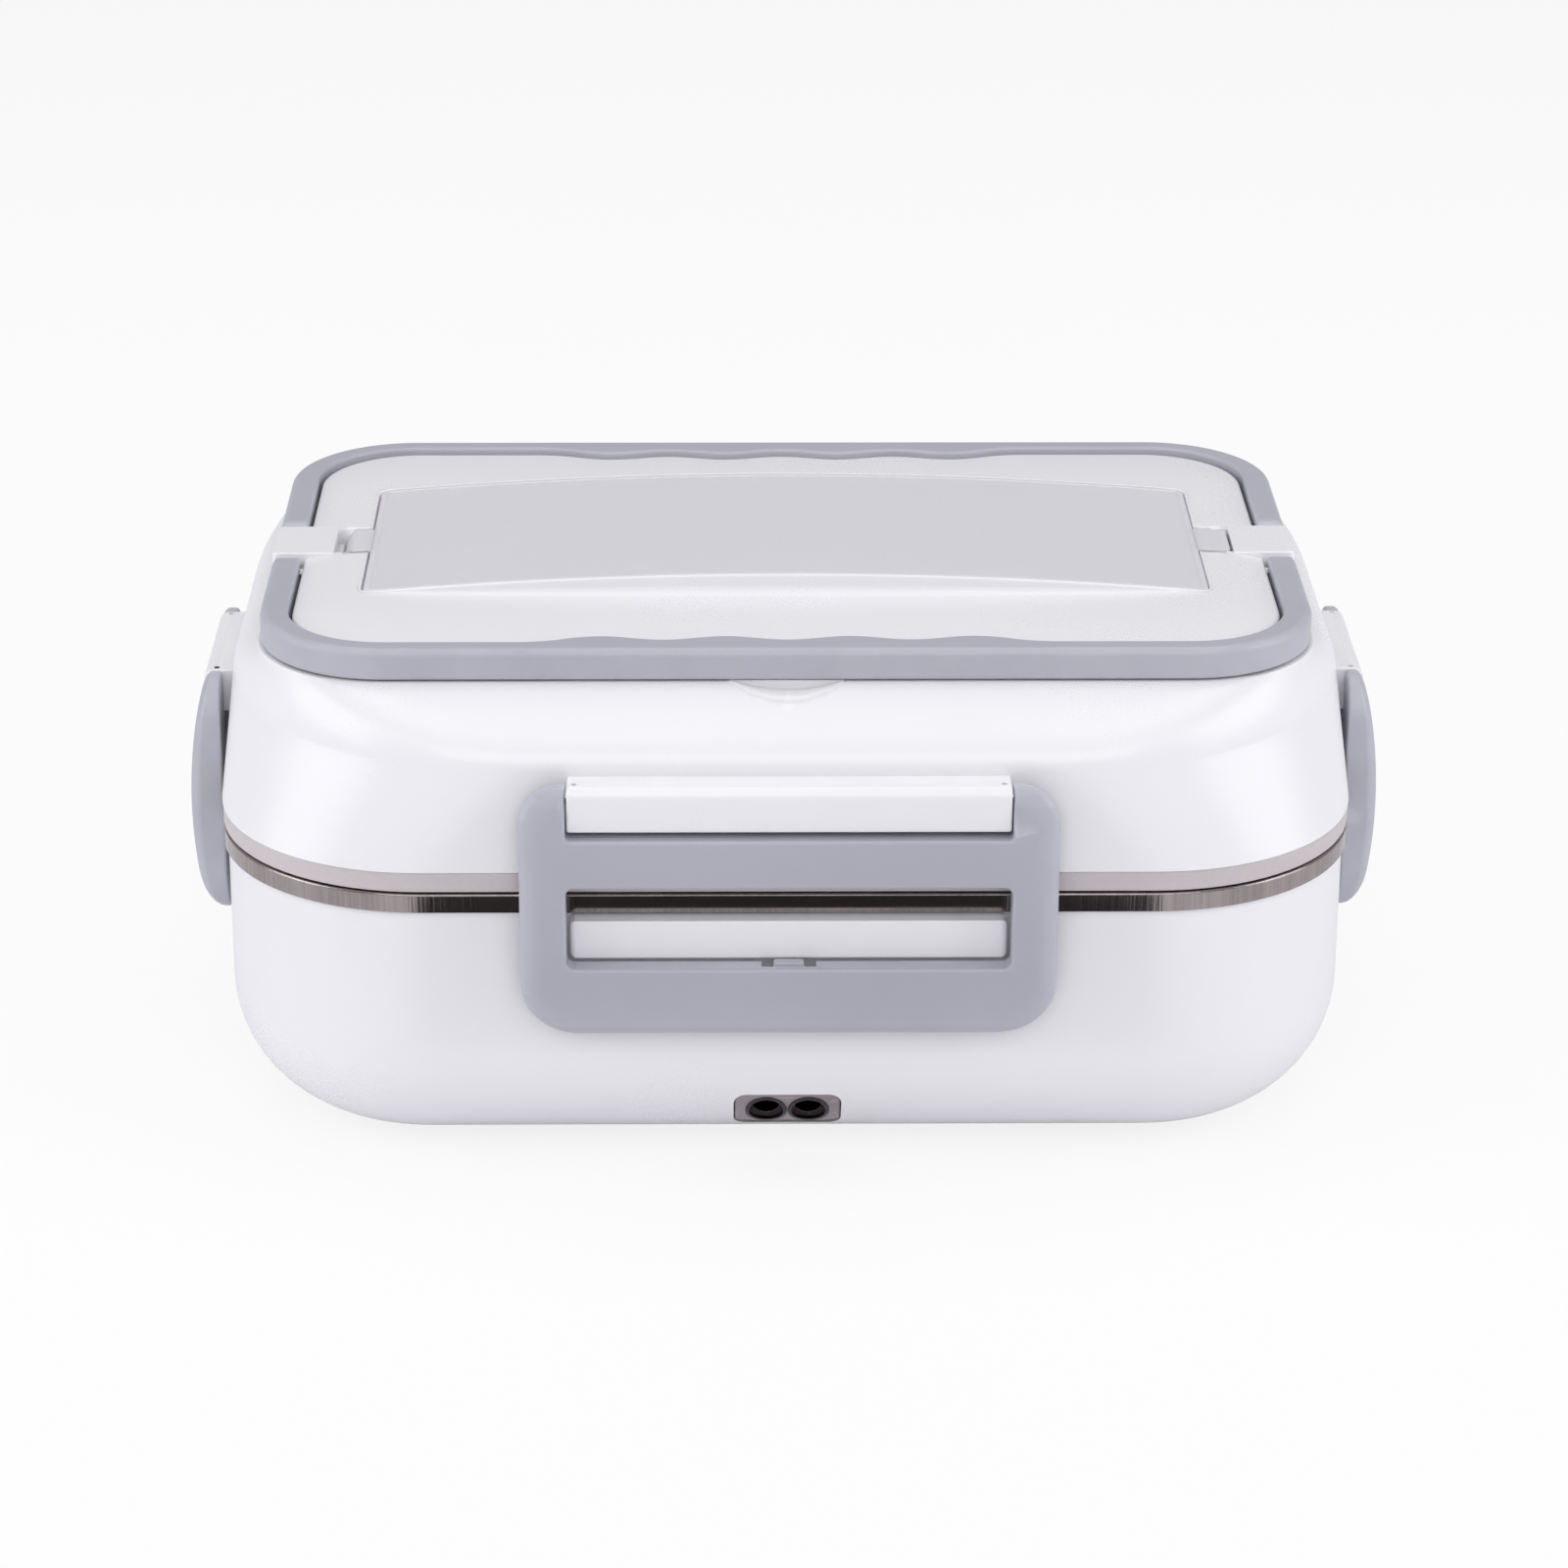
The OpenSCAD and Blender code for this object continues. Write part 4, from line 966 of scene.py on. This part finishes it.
@dataclass
class Container:
    """Pressed steel container with a turned-down skirt."""

    wardrobe: Wardrobe
    skirt_z: float = 59.4
    proud: float = 0.9
    sheet: float = 0.6
    bowl_inset: float = 9.0
    floor_z: float = 24.3
    fillet: float = 14.0
    top_r: float = 0.5
    lead_r: float = 1.6

    def build(self) -> None:
        """Build the container as one pressed sheet."""
        top, sheet, skirt, r, lead = SIZES.flange_top, self.sheet, self.skirt_z, self.top_r, self.lead_r
        wall, base, f = self.bowl_inset + sheet, self.floor_z + sheet, self.fillet - sheet
        rows = [(-self.proud, z) for z in (skirt + 0.15, (skirt + top) / 2, top - r)]
        for a in np.radians(np.linspace(15, 90, 6)):
            rows.append((-self.proud + r * (1 - math.cos(a)), top - r + r * math.sin(a)))
        for a in np.radians(np.linspace(0, 90, 7)):
            rows.append((wall - lead + lead * math.sin(a), top - lead + lead * math.cos(a)))
        rows += [(wall, z) for z in np.linspace(top - 6, base + f, 8)[:-1]]
        outer = WALL.stack(rows) + WALL.foot(wall, base, f, 12)
        outer += WALL.stack([(wall + f + 8, base), (wall + f + 10, base + 0.5), (wall + f + 12, base + 0.7)])
        under = WALL.stack([(wall + f + 11, self.floor_z)])
        under += WALL.foot(self.bowl_inset, self.floor_z, self.fillet, 12)[::-1]
        hem, below = sheet - self.proud, top - sheet
        rows = [(self.bowl_inset, 45.0), (self.bowl_inset, top - 3), (self.bowl_inset - 1.2, below)]
        rows += [(hem + 0.5, below), (hem, top - 1.2), (hem, skirt + 0.15), (sheet / 2 - self.proud, skirt)]
        made = Draft().skins(outer, under + WALL.stack(rows) + outer[:1], "pressed_container")
        self.wardrobe.dress(made, "steel", "container", "steel_container")


# --------------------------------------------------------------------------- lid


@dataclass
class HandleRing:
    """Sizes of the ring that the two handles make, with its finger bumps."""

    hw: float = 107.1
    hd: float = 65.8
    r: float = 26.0
    arm_w: float = 5.8
    bar_w: float = 5.0
    grip_base: float = 1.2
    grip_bump: float = 2.0
    pitch: float = 24.9
    fade_len: float = 11.0

    @property
    def grip_end(self) -> float:
        """Distance from the middle at which the finger grips have faded out."""
        return 2 * self.pitch + 4

    def bar_at(self, x: np.ndarray) -> np.ndarray:
        """Width of a handle bar at a distance from its middle."""
        d = np.abs(x)
        t = np.clip((d - self.grip_end + self.fade_len) / self.fade_len, 0, 1)
        fade = 1 - t * t * (3 - 2 * t)
        bump = 0.5 + 0.5 * np.cos(2 * math.pi * (d - self.pitch / 2) / self.pitch)
        return self.bar_w + (self.grip_base + self.grip_bump * bump) * fade

    def opening(self, gap: float, arm_gap: float = 0.0) -> np.ndarray:
        """Outline of the ring's opening, sampled like a Plan.

        Args:
            gap: How far it is drawn in all round.
            arm_gap: How much farther it is drawn in along the arms.

        Returns:
            Rows of x and y.
        """
        plan = Plan(self.hw - self.arm_w - gap - arm_gap, self.hd - self.bar_w - gap, self.r - self.arm_w)
        flat = plan.outline()
        straight = np.abs(flat[:, 0]) < plan.hw - plan.r
        long_side = straight & (np.abs(np.abs(flat[:, 1]) - plan.hd) < 1e-6)
        x = flat[long_side, 0]
        flat[long_side, 1] = np.sign(flat[long_side, 1]) * (self.hd - self.bar_at(x) - gap)
        return flat


@dataclass
class Lid:
    """White lid with its crowned top, the frame of the cover, tray, tabs and hinge blocks."""

    wardrobe: Wardrobe
    ring: HandleRing = field(default_factory=HandleRing)
    wall: float = 2.4
    proud: float = 1.0
    cover_hw: float = 87.0
    cover_hd: float = 31.7
    cover_r: float = 2.0
    cover_rise: float = 3.8
    rim: float = 1.0
    play: float = 0.3
    tray_inset: float = 5.0
    tray_z: float = 86.4
    crown: float = 1.05
    scoop_hw: float = 11.0
    scoop_h: float = 1.9
    sweep: float = 35.0
    crease_r: float = 60.0

    def build(self) -> None:
        """Build and dress every piece of the lid."""
        self.shell()
        self.seal()
        for side in Side:
            self.hinge_block(side)

    def arch(self, x: np.ndarray, y: np.ndarray) -> np.ndarray:
        """Height of the cover's back at a distance along the box."""
        r = (self.cover_hw**2 + self.cover_rise**2) / (2 * self.cover_rise)
        return SIZES.ring_top + self.cover_rise - r + np.sqrt(r * r - x * x)

    def band_rings(self, inset: float, drop: float) -> list[np.ndarray]:
        """Rings of the lid's band and shoulder, from the lower edge to the handle ledge.

        Args:
            inset: Distance inside the outer face.
            drop: How far the top lies below the ledge.

        Returns:
            The rings, from the bottom up.
        """
        s = SIZES
        low = WALL.inset(-self.proud).inset(inset)
        high = Plan(s.half_w - 0.5, s.half_d - 0.6, self.crease_r).inset(inset)
        end = Plan(self.ring.hw + 0.5, self.ring.hd + 0.5, self.ring.r + 0.5).inset(inset)
        rings = []
        for t in (0.012, 0.03, 0.2, 0.4, 0.6, 0.8, 0.93, 0.985):
            rings.append(low.towards(high, t).ring(s.lid_z + (s.crease_z - s.lid_z) * t))
        span = s.ledge_z - s.crease_z - drop
        full = 1 - math.cos(math.radians(self.sweep))
        for a in np.radians(np.linspace(self.sweep * 0.02, self.sweep, 15)):
            t = (1 - math.cos(a)) / full
            z = s.crease_z + span * math.sin(a) / math.sin(math.radians(self.sweep))
            rings.append(high.towards(end, t).ring(z))
        return rings

    def below_arch(self, drop: float) -> Height:
        """Height at a fixed distance below the arch."""
        return lambda x, y: self.arch(x, y) - drop

    def above_top(self, share: float, drop: float = 0.0) -> Height:
        """Height between the crowned top and the arch.

        Args:
            share: 0 at the top, 1 at the arch.
            drop: Distance below that, which fades out where the arch is low.

        Returns:
            The height as a function of x and y.
        """
        low = SIZES.plateau_z + self.crown

        def height(x: np.ndarray, y: np.ndarray) -> np.ndarray:
            """Give the height at x and y."""
            rise = self.arch(x, y) - low
            return low + rise * share - drop * np.clip(rise / 0.6, 0, 1)

        return height

    def top_rings(self) -> list[np.ndarray]:
        """Rings from the handle ledge over the crowned top, the frame and down the tray."""
        s, opening = SIZES, self.ring.opening
        gap, arm, edge, spread, fillet, groove_z = 0.5, 0.2, 0.8, 2.6, 3.0, s.ledge_z - 3.4
        rings = [raised(opening(0.02), s.ledge_z), raised(opening(0.05), groove_z)]
        rings.append(raised(opening(gap, arm), groove_z))
        for a in np.radians(np.linspace(0, 90, 6)):
            flat = opening(gap + edge * (1 - math.cos(a)), arm)
            rings.append(raised(flat, s.plateau_z - edge + edge * math.sin(a)))
        inner = opening(gap + edge, arm)
        wall = Plan(self.cover_hw + self.rim, self.cover_hd + self.rim, self.cover_r + self.rim)
        foot = wall.inset(-spread).outline()
        for t in np.linspace(0.08, 1.0, 14):
            rings.append(raised(inner + (foot - inner) * t, s.plateau_z + self.crown * (1 - (1 - t) ** 2)))
        for t in (0.2, 0.4, 0.6, 0.8, 0.92):
            rings.append(wall.inset(-spread * (1 - t) - 0.05).ring(self.above_top(0.34 * t**2.6)))
        for inset, share, drop in ((0.0, 0.5, 0.0), (0.0, 1.0, 0.35), (0.1, 1.0, 0.1), (0.35, 1.0, 0.0)):
            rings.append(wall.inset(inset).ring(self.above_top(share, drop)))
        recess = wall.inset(self.rim - self.play)
        rings.append(recess.inset(-0.2).ring(self.arch))
        rings += [recess.ring(self.below_arch(drop)) for drop in (0.2, 2.15)]
        tray = Plan(self.cover_hw - self.tray_inset, self.cover_hd - self.tray_inset, 6.0)
        rings += [tray.inset(-0.5).ring(self.below_arch(2.15)), tray.ring(self.below_arch(2.65))]
        rings += [tray.ring(z) for z in (100.0, 95.0, self.tray_z + fillet)]
        return rings + tray.foot(0.0, self.tray_z, fillet, 6, 15)

    def under_rings(self) -> list[np.ndarray]:
        """Rings of the inside, from the tray's underside out to the lower edge."""
        z, under_t = SIZES.lid_z, 2.0
        grow = under_t - self.tray_inset
        tray = Plan(self.cover_hw + grow, self.cover_hd + grow, 8.0)
        rings = tray.stack([(2, self.tray_z - under_t), (0, self.tray_z), (0, SIZES.ledge_z - self.wall)])
        rings += self.band_rings(self.wall, self.wall)[::-1]
        return rings + WALL.inset(-self.proud).stack([(self.wall - 0.2, z), (0.35, z), (0.08, z + 0.1)])

    def shell(self) -> None:
        """Lid shell, cut for the hinge tongue, the finger tab and the thumb scoop."""
        under = self.under_rings()
        outer = under[-1:] + self.band_rings(0.0, 0.0) + self.top_rings()
        shell = Draft().skins(outer, under, "lid_outer_shell")
        r = (self.scoop_hw**2 + self.scoop_h**2) / (2 * self.scoop_h)
        middle = np.array([0.0, -self.ring.hd, SIZES.ledge_z - self.scoop_h + r])
        scoop = Draft().lathe([(r, 1.0), (r, -12.0)], lambda p: upright(p) + middle, 360)
        carve(shell, [self.slot(-1), self.slot(1), scoop.build("scoop_cut")])
        self.wardrobe.dress(shell, "white_plastic", "lid", "lid_shell")
        for sx in (-1, 1):
            self.tab(sx)

    def slot(self, sx: int) -> Piece:
        """Cutter for the slot beside the cover's end, round under the hinge pin and flat beyond."""
        near, far, floor, step, top = self.cover_hw - 0.8, self.cover_hw + 7.6, 102.0, 104.2, 115.0
        corners = [(near, floor, 0.0), (near + 6.0, floor, 1.5), (near + 7.2, step, 0.5)]
        corners += [(far, step, 0.5), (far, top, 0.0), (near, top, 0.0)]
        rows = [(*corner, *CUT_EDGE) for corner in corners]
        return cutter("slot_cut", rows, -6.9, 6.9, lambda p: upright(p) * np.array([sx, 1, 1]), 6)

    def tab(self, sx: int) -> None:
        """White tab between the handle ends, with the bosses for their pivot pins."""
        out, near, hd = self.ring.hw + 0.4, self.cover_hw + 7.55, 8.5
        rows = [(near, -hd, 0.6, 0.4, 0.3), (out, -hd, 1.5, 0.9, 0.9)]
        rows += [(out, hd, 1.5, 0.5, 0.4), (near, hd, 0.6, 0.2, 0.2)]
        mirror = np.array([sx, 1, 1])
        tab = Draft().plate(
            [Loop().corners(rows, 6)], SIZES.ledge_z - 1, SIZES.ring_top, lambda p: p * mirror
        )
        name = f"pivot_tab_{'left' if sx < 0 else 'right'}"
        self.wardrobe.dress(tab.build(name), "white_plastic", "lid")

    def seal(self) -> None:
        """Silicone seal: the visible band and the lip that presses on the container."""
        top, low = SIZES.lid_z, SIZES.band_z
        rows = [(-0.5, top), (-0.72, top - 0.3), (-0.8, top - 0.9), (-0.8, low + 0.5)]
        rows += [(-0.76, low + 0.15), (-0.6, low), (0.0, low), (4.5, low), (5.0, low - 0.15)]
        rows += [(5.6, low - 0.2), (9.2, low - 0.2), (10.0, low), (10.1, top)]
        draft = Draft().loft(WALL.stack(rows), closed=True)
        self.wardrobe.dress(draft.build("silicone_seal"), "silicone", "lid", "lid_seal")

    def hinge_block(self, side: Side) -> None:
        """Block on the lid that holds a latch's hinge pin."""
        s, e = SIZES, (0.5, 0.5)
        half = (side.latch_width - 2 * s.post_w - 0.6) / 2
        out, top, low, back = s.hinge_out + 2.7, s.hinge_z + 2.7, s.hinge_z - 6.6, -1.6
        rows = [(back, low, 0, *e), (out, low, 0.5, *e), (out, top, 2.2, *e), (back, top, 0, *e)]
        outline = Loop().corners(rows, 8)
        draft = Draft().plate([outline], -half, half, lambda p: side.place(p[:, ::-1]), back_edge=0.5)
        made = draft.build(f"{side.label}_hinge_block")
        holes = []
        for sx in (-1, 1):
            middle = np.array([sx * (half - 1.5), s.hinge_z, s.hinge_out])
            hole = Draft().lathe([(0.6, 0.0), (0.6, 4.0)], lambda p, m=middle: side.place(upright(p) + m), 20)
            holes.append(hole.build("sight_cut"))
        carve(made, holes)
        self.wardrobe.dress(made, "white_plastic", "lid")


# --------------------------------------------------------------------------- moving pieces


@dataclass
class Latch:
    """Windowed latch with a bowed face, rounded lip and snap tongue."""

    wardrobe: Wardrobe
    side: Side
    back: float = 2.25
    face: float = 9.34
    inner: float = 4.65
    bow: float = 110.0
    bow_z: float = 60.1
    low_z: float = 34.3
    crossbar_z: float = 77.7
    window: Pair = (50.6, 68.0)

    @property
    def post(self) -> float:
        """Distance from the middle to the inner side of a post."""
        return self.side.latch_width / 2 - SIZES.post_w

    def place(self, p: np.ndarray) -> np.ndarray:
        """Bow the face, keep the back flat, and put the points on the side."""
        sag = self.bow - np.sqrt(np.maximum(self.bow**2 - (p[:, 1] - self.bow_z) ** 2, 0))
        share = np.clip((p[:, 2] - self.back) / (self.face - self.back), 0, 1)
        return self.side.place(np.column_stack([p[:, 0], p[:, 1], p[:, 2] - sag * share]))

    def outer(self, is_back: bool) -> Loop:
        """Outer outline, with the notch for the hinge block."""
        hw, post, top = self.side.latch_width / 2, self.post, SIZES.hinge_z + 2.6
        side_edge, lip, head, fine = (3.9, 2.5), (5.0, 5.3), (3.6, 2.8), (0.6, 0.5)
        if is_back:
            side_edge, lip, head, fine = (0.6, 0.6), (0.8, 0.8), (2.2, 1.3), (0.4, 0.4)
        rows = [
            (-hw, self.low_z, 12.0, *lip),
            (hw, self.low_z, 12.0, *side_edge),
            (hw, top, 8.5, *head),
            (post, top, 0.0, *fine),
            (post, self.crossbar_z, 0.8, *fine),
            (-post, self.crossbar_z, 0.8, *fine),
            (-post, top, 0.0, *head),
            (-hw, top, 8.5, *side_edge),
        ]
        return Loop().corners(rows, 14)

    def hole(self, is_back: bool) -> Loop:
        """Window outline."""
        low, high = self.window
        edge = (0.4, 0.4) if is_back else (0.75, 0.6)
        return Loop(is_hole=True).corners(rectangle(-self.post, low, self.post, high, 1.6, edge), 6)

    def cutters(self) -> list[Piece]:
        """Cutters for the catch's room behind the lower crossbar and the notches by the tongue."""
        low, made = self.window[0], []
        rows = [("recess_cut", -self.post, 20.0, self.post, self.inner)]
        rows += [("notch_cut", a, low - 2.0, b, self.face - 2.0) for a, b in ((-5.45, -3.05), (3.05, 5.45))]
        for name, x0, z0, x1, front in rows:
            outline = rectangle(x0, z0, x1, low + 1.0, 0.0, CUT_EDGE)
            made.append(cutter(name, outline, 0.5, front, self.side.place))
        return made

    def build(self) -> None:
        """Build and dress the latch."""
        levels = np.arange(self.low_z + 2, SIZES.hinge_z + 2, 2.5)
        name = f"{self.side.label}_latch"
        draft = Draft().plate(
            [self.outer(False), self.hole(False)],
            self.back,
            self.face,
            self.place,
            cuts=[(1, levels)],
            back_loops=[self.outer(True), self.hole(True)],
        )
        plate = draft.build(f"{name}_plate")
        carve(plate, self.cutters())
        self.wardrobe.dress(plate, "grey_plastic", f"{name}_body", name)
        low, high, half, e = self.window[0] - 1.2, self.window[0] + 0.6, 3.0, (0.3, 0.3)
        rows = [(-half, low, 0, *e), (half, low, 0, *e), (half, high, 0.4, 0.4, 0.4), (-half, high, 0.4, *e)]
        tongue = Draft().plate([Loop().corners(rows, 4)], self.inner + 0.1, self.face - 2.1, self.place)
        self.wardrobe.dress(tongue.build(f"{name}_tongue"), "grey_plastic", f"{name}_body")


@dataclass
class Handle:
    """U-shaped carrying handle with finger bumps and rounded pivot ends."""

    wardrobe: Wardrobe
    is_front: bool
    ring: HandleRing = field(default_factory=HandleRing)
    pivot_y: float = 12.2
    end_r: float = 3.3

    def outline(self, is_back: bool) -> Loop:
        """Outline of the U in plan, drawn for the front."""
        g, end = self.ring, (3.3, 3.3)
        near = -(self.pivot_y - self.end_r)
        start = near - self.end_r - 0.4
        outer, inner = ((0.8, 0.8), (0.5, 0.5)) if is_back else ((1.5, 1.7), (0.7, 0.7))
        x_in, r_in, y_in = g.hw - g.arm_w, g.r - g.arm_w, g.hd - g.bar_w
        right = ((g.hw, start, outer), (g.hw, near, end), (x_in, near, inner), (x_in, start, inner))
        left = ((-x_in, start, inner), (-x_in, near, end), (-g.hw, near, outer), (-g.hw, start, outer))
        loop = Loop()
        loop.arc(g.r - g.hw, g.r - g.hd, g.r, (180, 270), outer)
        loop.arc(g.hw - g.r, g.r - g.hd, g.r, (270, 360), outer)
        for x, y, edge in right:
            loop.add(x, y, *edge)
        loop.arc(x_in - r_in, r_in - y_in, r_in, (360, 270), inner)
        grip = np.linspace(g.grip_end, -g.grip_end, 110)
        for x, width in zip(grip, g.bar_at(grip)):
            loop.add(float(x), float(width) - g.hd, *inner)
        loop.arc(r_in - x_in, r_in - y_in, r_in, (270, 180), inner)
        for x, y, edge in left:
            loop.add(x, y, *edge)
        return loop

    def place(self, p: np.ndarray) -> np.ndarray:
        """Front handle as drawn, rear handle turned half round."""
        sign = 1 if self.is_front else -1
        return p * np.array([sign, sign, 1])

    def build(self) -> None:
        """Build and dress the handle."""
        label = "front" if self.is_front else "rear"
        loops, back_loops = [self.outline(False)], [self.outline(True)]
        draft = Draft().plate(loops, SIZES.ring_z, SIZES.ring_top, self.place, back_loops=back_loops)
        made = draft.build(f"{label}_grip_handle")
        self.wardrobe.dress(made, "grey_plastic", f"{label}_handle_body", f"{label}_handle")


@dataclass
class CutleryCover:
    """Arched milky cover with its hinge tongue and finger tab."""

    wardrobe: Wardrobe
    lid: Lid
    thickness: float = 2.0
    tongue_hw: float = 6.5
    pin_x: float = -91.0
    pin_z: float = 104.9
    eye_r: float = 1.6
    grow: float = 0.15
    end_gap: float = 0.1

    def place(self, p: np.ndarray) -> np.ndarray:
        """Lay the flat plate over the arch; level 0 is the arch itself."""
        return np.column_stack([p[:, 0], p[:, 1], self.lid.arch(p[:, 0], p[:, 1]) + p[:, 2]])

    def build(self) -> None:
        """Build and dress the cover."""
        hw, side, r = self.lid.cover_hw, self.lid.cover_hd + self.grow, self.lid.cover_r
        t, top, x, z = self.tongue_hw, SIZES.ring_top, self.pin_x, self.pin_z
        rows = rectangle(self.end_gap - hw, -side, hw + self.grow, side, r, (1.6, 0.45))
        cuts = [(0, np.arange(-84, 85, 4.0))]
        draft = Draft()
        draft.plate([Loop().corners(rows)], -self.thickness, 0.0, self.place, profile=STEPPED_EDGE, cuts=cuts)
        near, far, fine, edge = hw - 0.4, hw + 7, (0.3, 0.3), (0.4, 0.4)
        rows = [(near, -t, 0, *fine), (far, -t, 1.2, *edge), (far, t, 1.2, *edge), (near, t, 0, *fine)]
        draft.plate([Loop().corners(rows, 6)], top - self.thickness, top - 0.2, lambda p: p)
        turns = np.radians(np.linspace(150, 330, 14))
        points = [(x + self.eye_r * math.cos(a), z + self.eye_r * math.sin(a)) for a in turns]
        points += [(x + 1.9, z - 0.2), (-near, z - 0.2), (-near, top - 0.1)]
        points += [(x + 0.9, top - 0.1), (x, top - 0.5)]
        section = Loop()
        for px, pz in points:
            section.add(px, pz, 0.25, 0.25)
        draft.plate([section], -t, t, upright, back_edge=0.25)
        self.wardrobe.dress(draft.build("cutlery_cover"), "cover_plastic", "cover_body", "spoon_cover")


# --------------------------------------------------------------------------- studio


@dataclass
class Studio:
    """Pale floor, soft lamps, and the camera at the photograph's angle."""

    focal_px: float = 4862.0
    elevation: float = 22.45
    azimuth: float = -0.8
    roll: float = 0.2
    distance: float = 1029.0
    target_z: float = 51.6
    shift_x: float = 0.2
    frame_px: float = 1600.0
    sensor: float = 36.0

    def build(self) -> None:
        """Build the camera, floor, world and lamps."""
        self.camera()
        self.floor()
        self.world()
        self.cards()
        self.lamps()
        bpy.context.scene.view_settings.view_transform = "Standard"

    def camera(self) -> None:
        """Place the camera."""
        data = bpy.data.cameras.new("camera")
        data.sensor_fit = "HORIZONTAL"
        data.sensor_width = self.sensor
        data.lens = self.focal_px * self.sensor / self.frame_px
        th, az, ro = (math.radians(a) for a in (self.elevation, self.azimuth, self.roll))
        back = np.array([math.sin(az) * math.cos(th), -math.cos(az) * math.cos(th), math.sin(th)])
        right = np.cross(-back, [0, 0, 1])
        right /= np.linalg.norm(right)
        up = np.cross(right, -back)
        r2 = math.cos(ro) * right + math.sin(ro) * up
        u2 = -math.sin(ro) * right + math.cos(ro) * up
        place = np.array([0, 0, self.target_z]) + self.shift_x * right + back * self.distance
        camera = bpy.data.objects.new("camera", data)
        matrix = Matrix([[r2[i], u2[i], back[i], place[i] * MM] for i in range(3)] + [[0, 0, 0, 1]])
        camera.matrix_world = matrix
        bpy.context.scene.collection.objects.link(camera)
        bpy.context.scene.camera = camera

    def paper(self, name: str, scale: float, detail: float, tones: tuple[Tone, Tone]) -> tuple:
        """Start a dull paper of two tones.

        Args:
            name: The material's name.
            scale: Scale of the mix of tones.
            detail: Detail of the mix.
            tones: The two tones.

        Returns:
            The material, its tree and its Principled shader.
        """
        made, t, shader = new_material(name)
        noise = t.add("TexNoise", {"Scale": scale, "Detail": detail})
        colour = t.mix(noise.outputs["Fac"], srgb(*tones[0]), srgb(*tones[1]))
        t.tree.links.new(colour, shader.inputs["Base Color"])
        shader.inputs["Roughness"].default_value = 0.9
        return made, t, shader

    def mixed(self, t: Tree, factor: Socket, seen: Node, kind: str, end: str) -> None:
        """Mix plain white over a shader by a factor, and end the tree with it."""
        white = t.add(kind, {"Color": (1.0, 1.0, 1.0, 1.0), "Strength": 1.0})
        mix = t.add("MixShader", {0: factor, 1: seen.outputs[0], 2: white.outputs[0]})
        t.tree.links.new(mix.outputs[0], t.tree.nodes[end].inputs["Surface"])

    def plane(self, name: str, size: float, place: Tone, material: bpy.types.Material) -> Piece:
        """Add a stage plane of one material."""
        bpy.ops.mesh.primitive_plane_add(size=size, location=place)
        made = bpy.context.object
        made.name = name
        made.data.materials.append(material)
        return made

    def floor(self) -> None:
        """Plain pale floor that keeps the object's shadow."""
        made, t, shader = self.paper("floor_paper", 3.0, 2.0, ((243, 243, 246), (246, 246, 248)))
        shader.inputs["Specular IOR Level"].default_value = 0.1
        share = t.math("MULTIPLY", t.add("LightPath").outputs["Is Camera Ray"], 0.82)
        self.mixed(t, share, shader, "Emission", "Material Output")
        self.plane("floor", 8.0, (0, 0, 0), made)

    def world(self) -> None:
        """Soft surrounding light, and white where the camera sees past the floor."""
        world = bpy.data.worlds.new("studio_world")
        bpy.context.scene.world = world
        world.use_nodes = True
        t = Tree(world.node_tree)
        soft_light = world.node_tree.nodes["Background"]
        soft_light.inputs["Color"].default_value = srgb(238, 238, 243)
        soft_light.inputs["Strength"].default_value = 0.5
        seen = t.add("LightPath").outputs["Is Camera Ray"]
        self.mixed(t, seen, soft_light, "Background", "World Output")

    def cards(self) -> None:
        """Dark cards on the floor before and behind the box, which only its gloss shows."""
        made = self.paper("card_black", 6.0, 1.0, ((14, 10, 10), (20, 14, 14)))[0]
        for name, y in (("front_card", -0.4), ("rear_card", 0.4)):
            card = self.plane(name, 1.0, (0, y, 0.0005), made)
            card.scale = (0.19, 0.52, 1.0)
            for ray in ("camera", "diffuse", "shadow", "transmission"):
                setattr(card, f"visible_{ray}", False)

    def lamps(self) -> None:
        """Large soft lamps in front, above and at the sides."""
        aim = Vector((0.0, 0.0, 0.06))
        rows = (
            ("front_lamp", (0.0, -1.3, 1.0), (1.6, 1.0), 7.5),
            ("top_lamp", (0.0, 0.2, 1.5), (1.4, 1.0), 5.6),
            ("left_lamp", (-1.3, -0.35, 0.6), (0.9, 1.1), 6.6),
            ("right_lamp", (1.3, -0.35, 0.6), (0.9, 1.1), 6.6),
        )
        for name, place, size, power in rows:
            data = bpy.data.lights.new(name, "AREA")
            data.shape = "RECTANGLE"
            data.size, data.size_y = size
            data.energy = power
            lamp = bpy.data.objects.new(name, data)
            lamp.location = place
            lamp.rotation_euler = (aim - Vector(place)).to_track_quat("-Z", "Y").to_euler()
            bpy.context.scene.collection.objects.link(lamp)


def main() -> None:
    """Build everything in order."""
    logging.basicConfig(level=logging.INFO, format="%(name)s: %(message)s")
    Studio().build()
    wardrobe = Wardrobe(FINISHES)
    wardrobe.dress_nodes()
    Base(wardrobe).build()
    Container(wardrobe).build()
    lid = Lid(wardrobe)
    lid.build()
    for side in Side:
        Latch(wardrobe, side).build()
    for is_front in (True, False):
        Handle(wardrobe, is_front).build()
    CutleryCover(wardrobe, lid).build()
    bpy.context.view_layer.update()


if __name__ == "__main__":
    main()
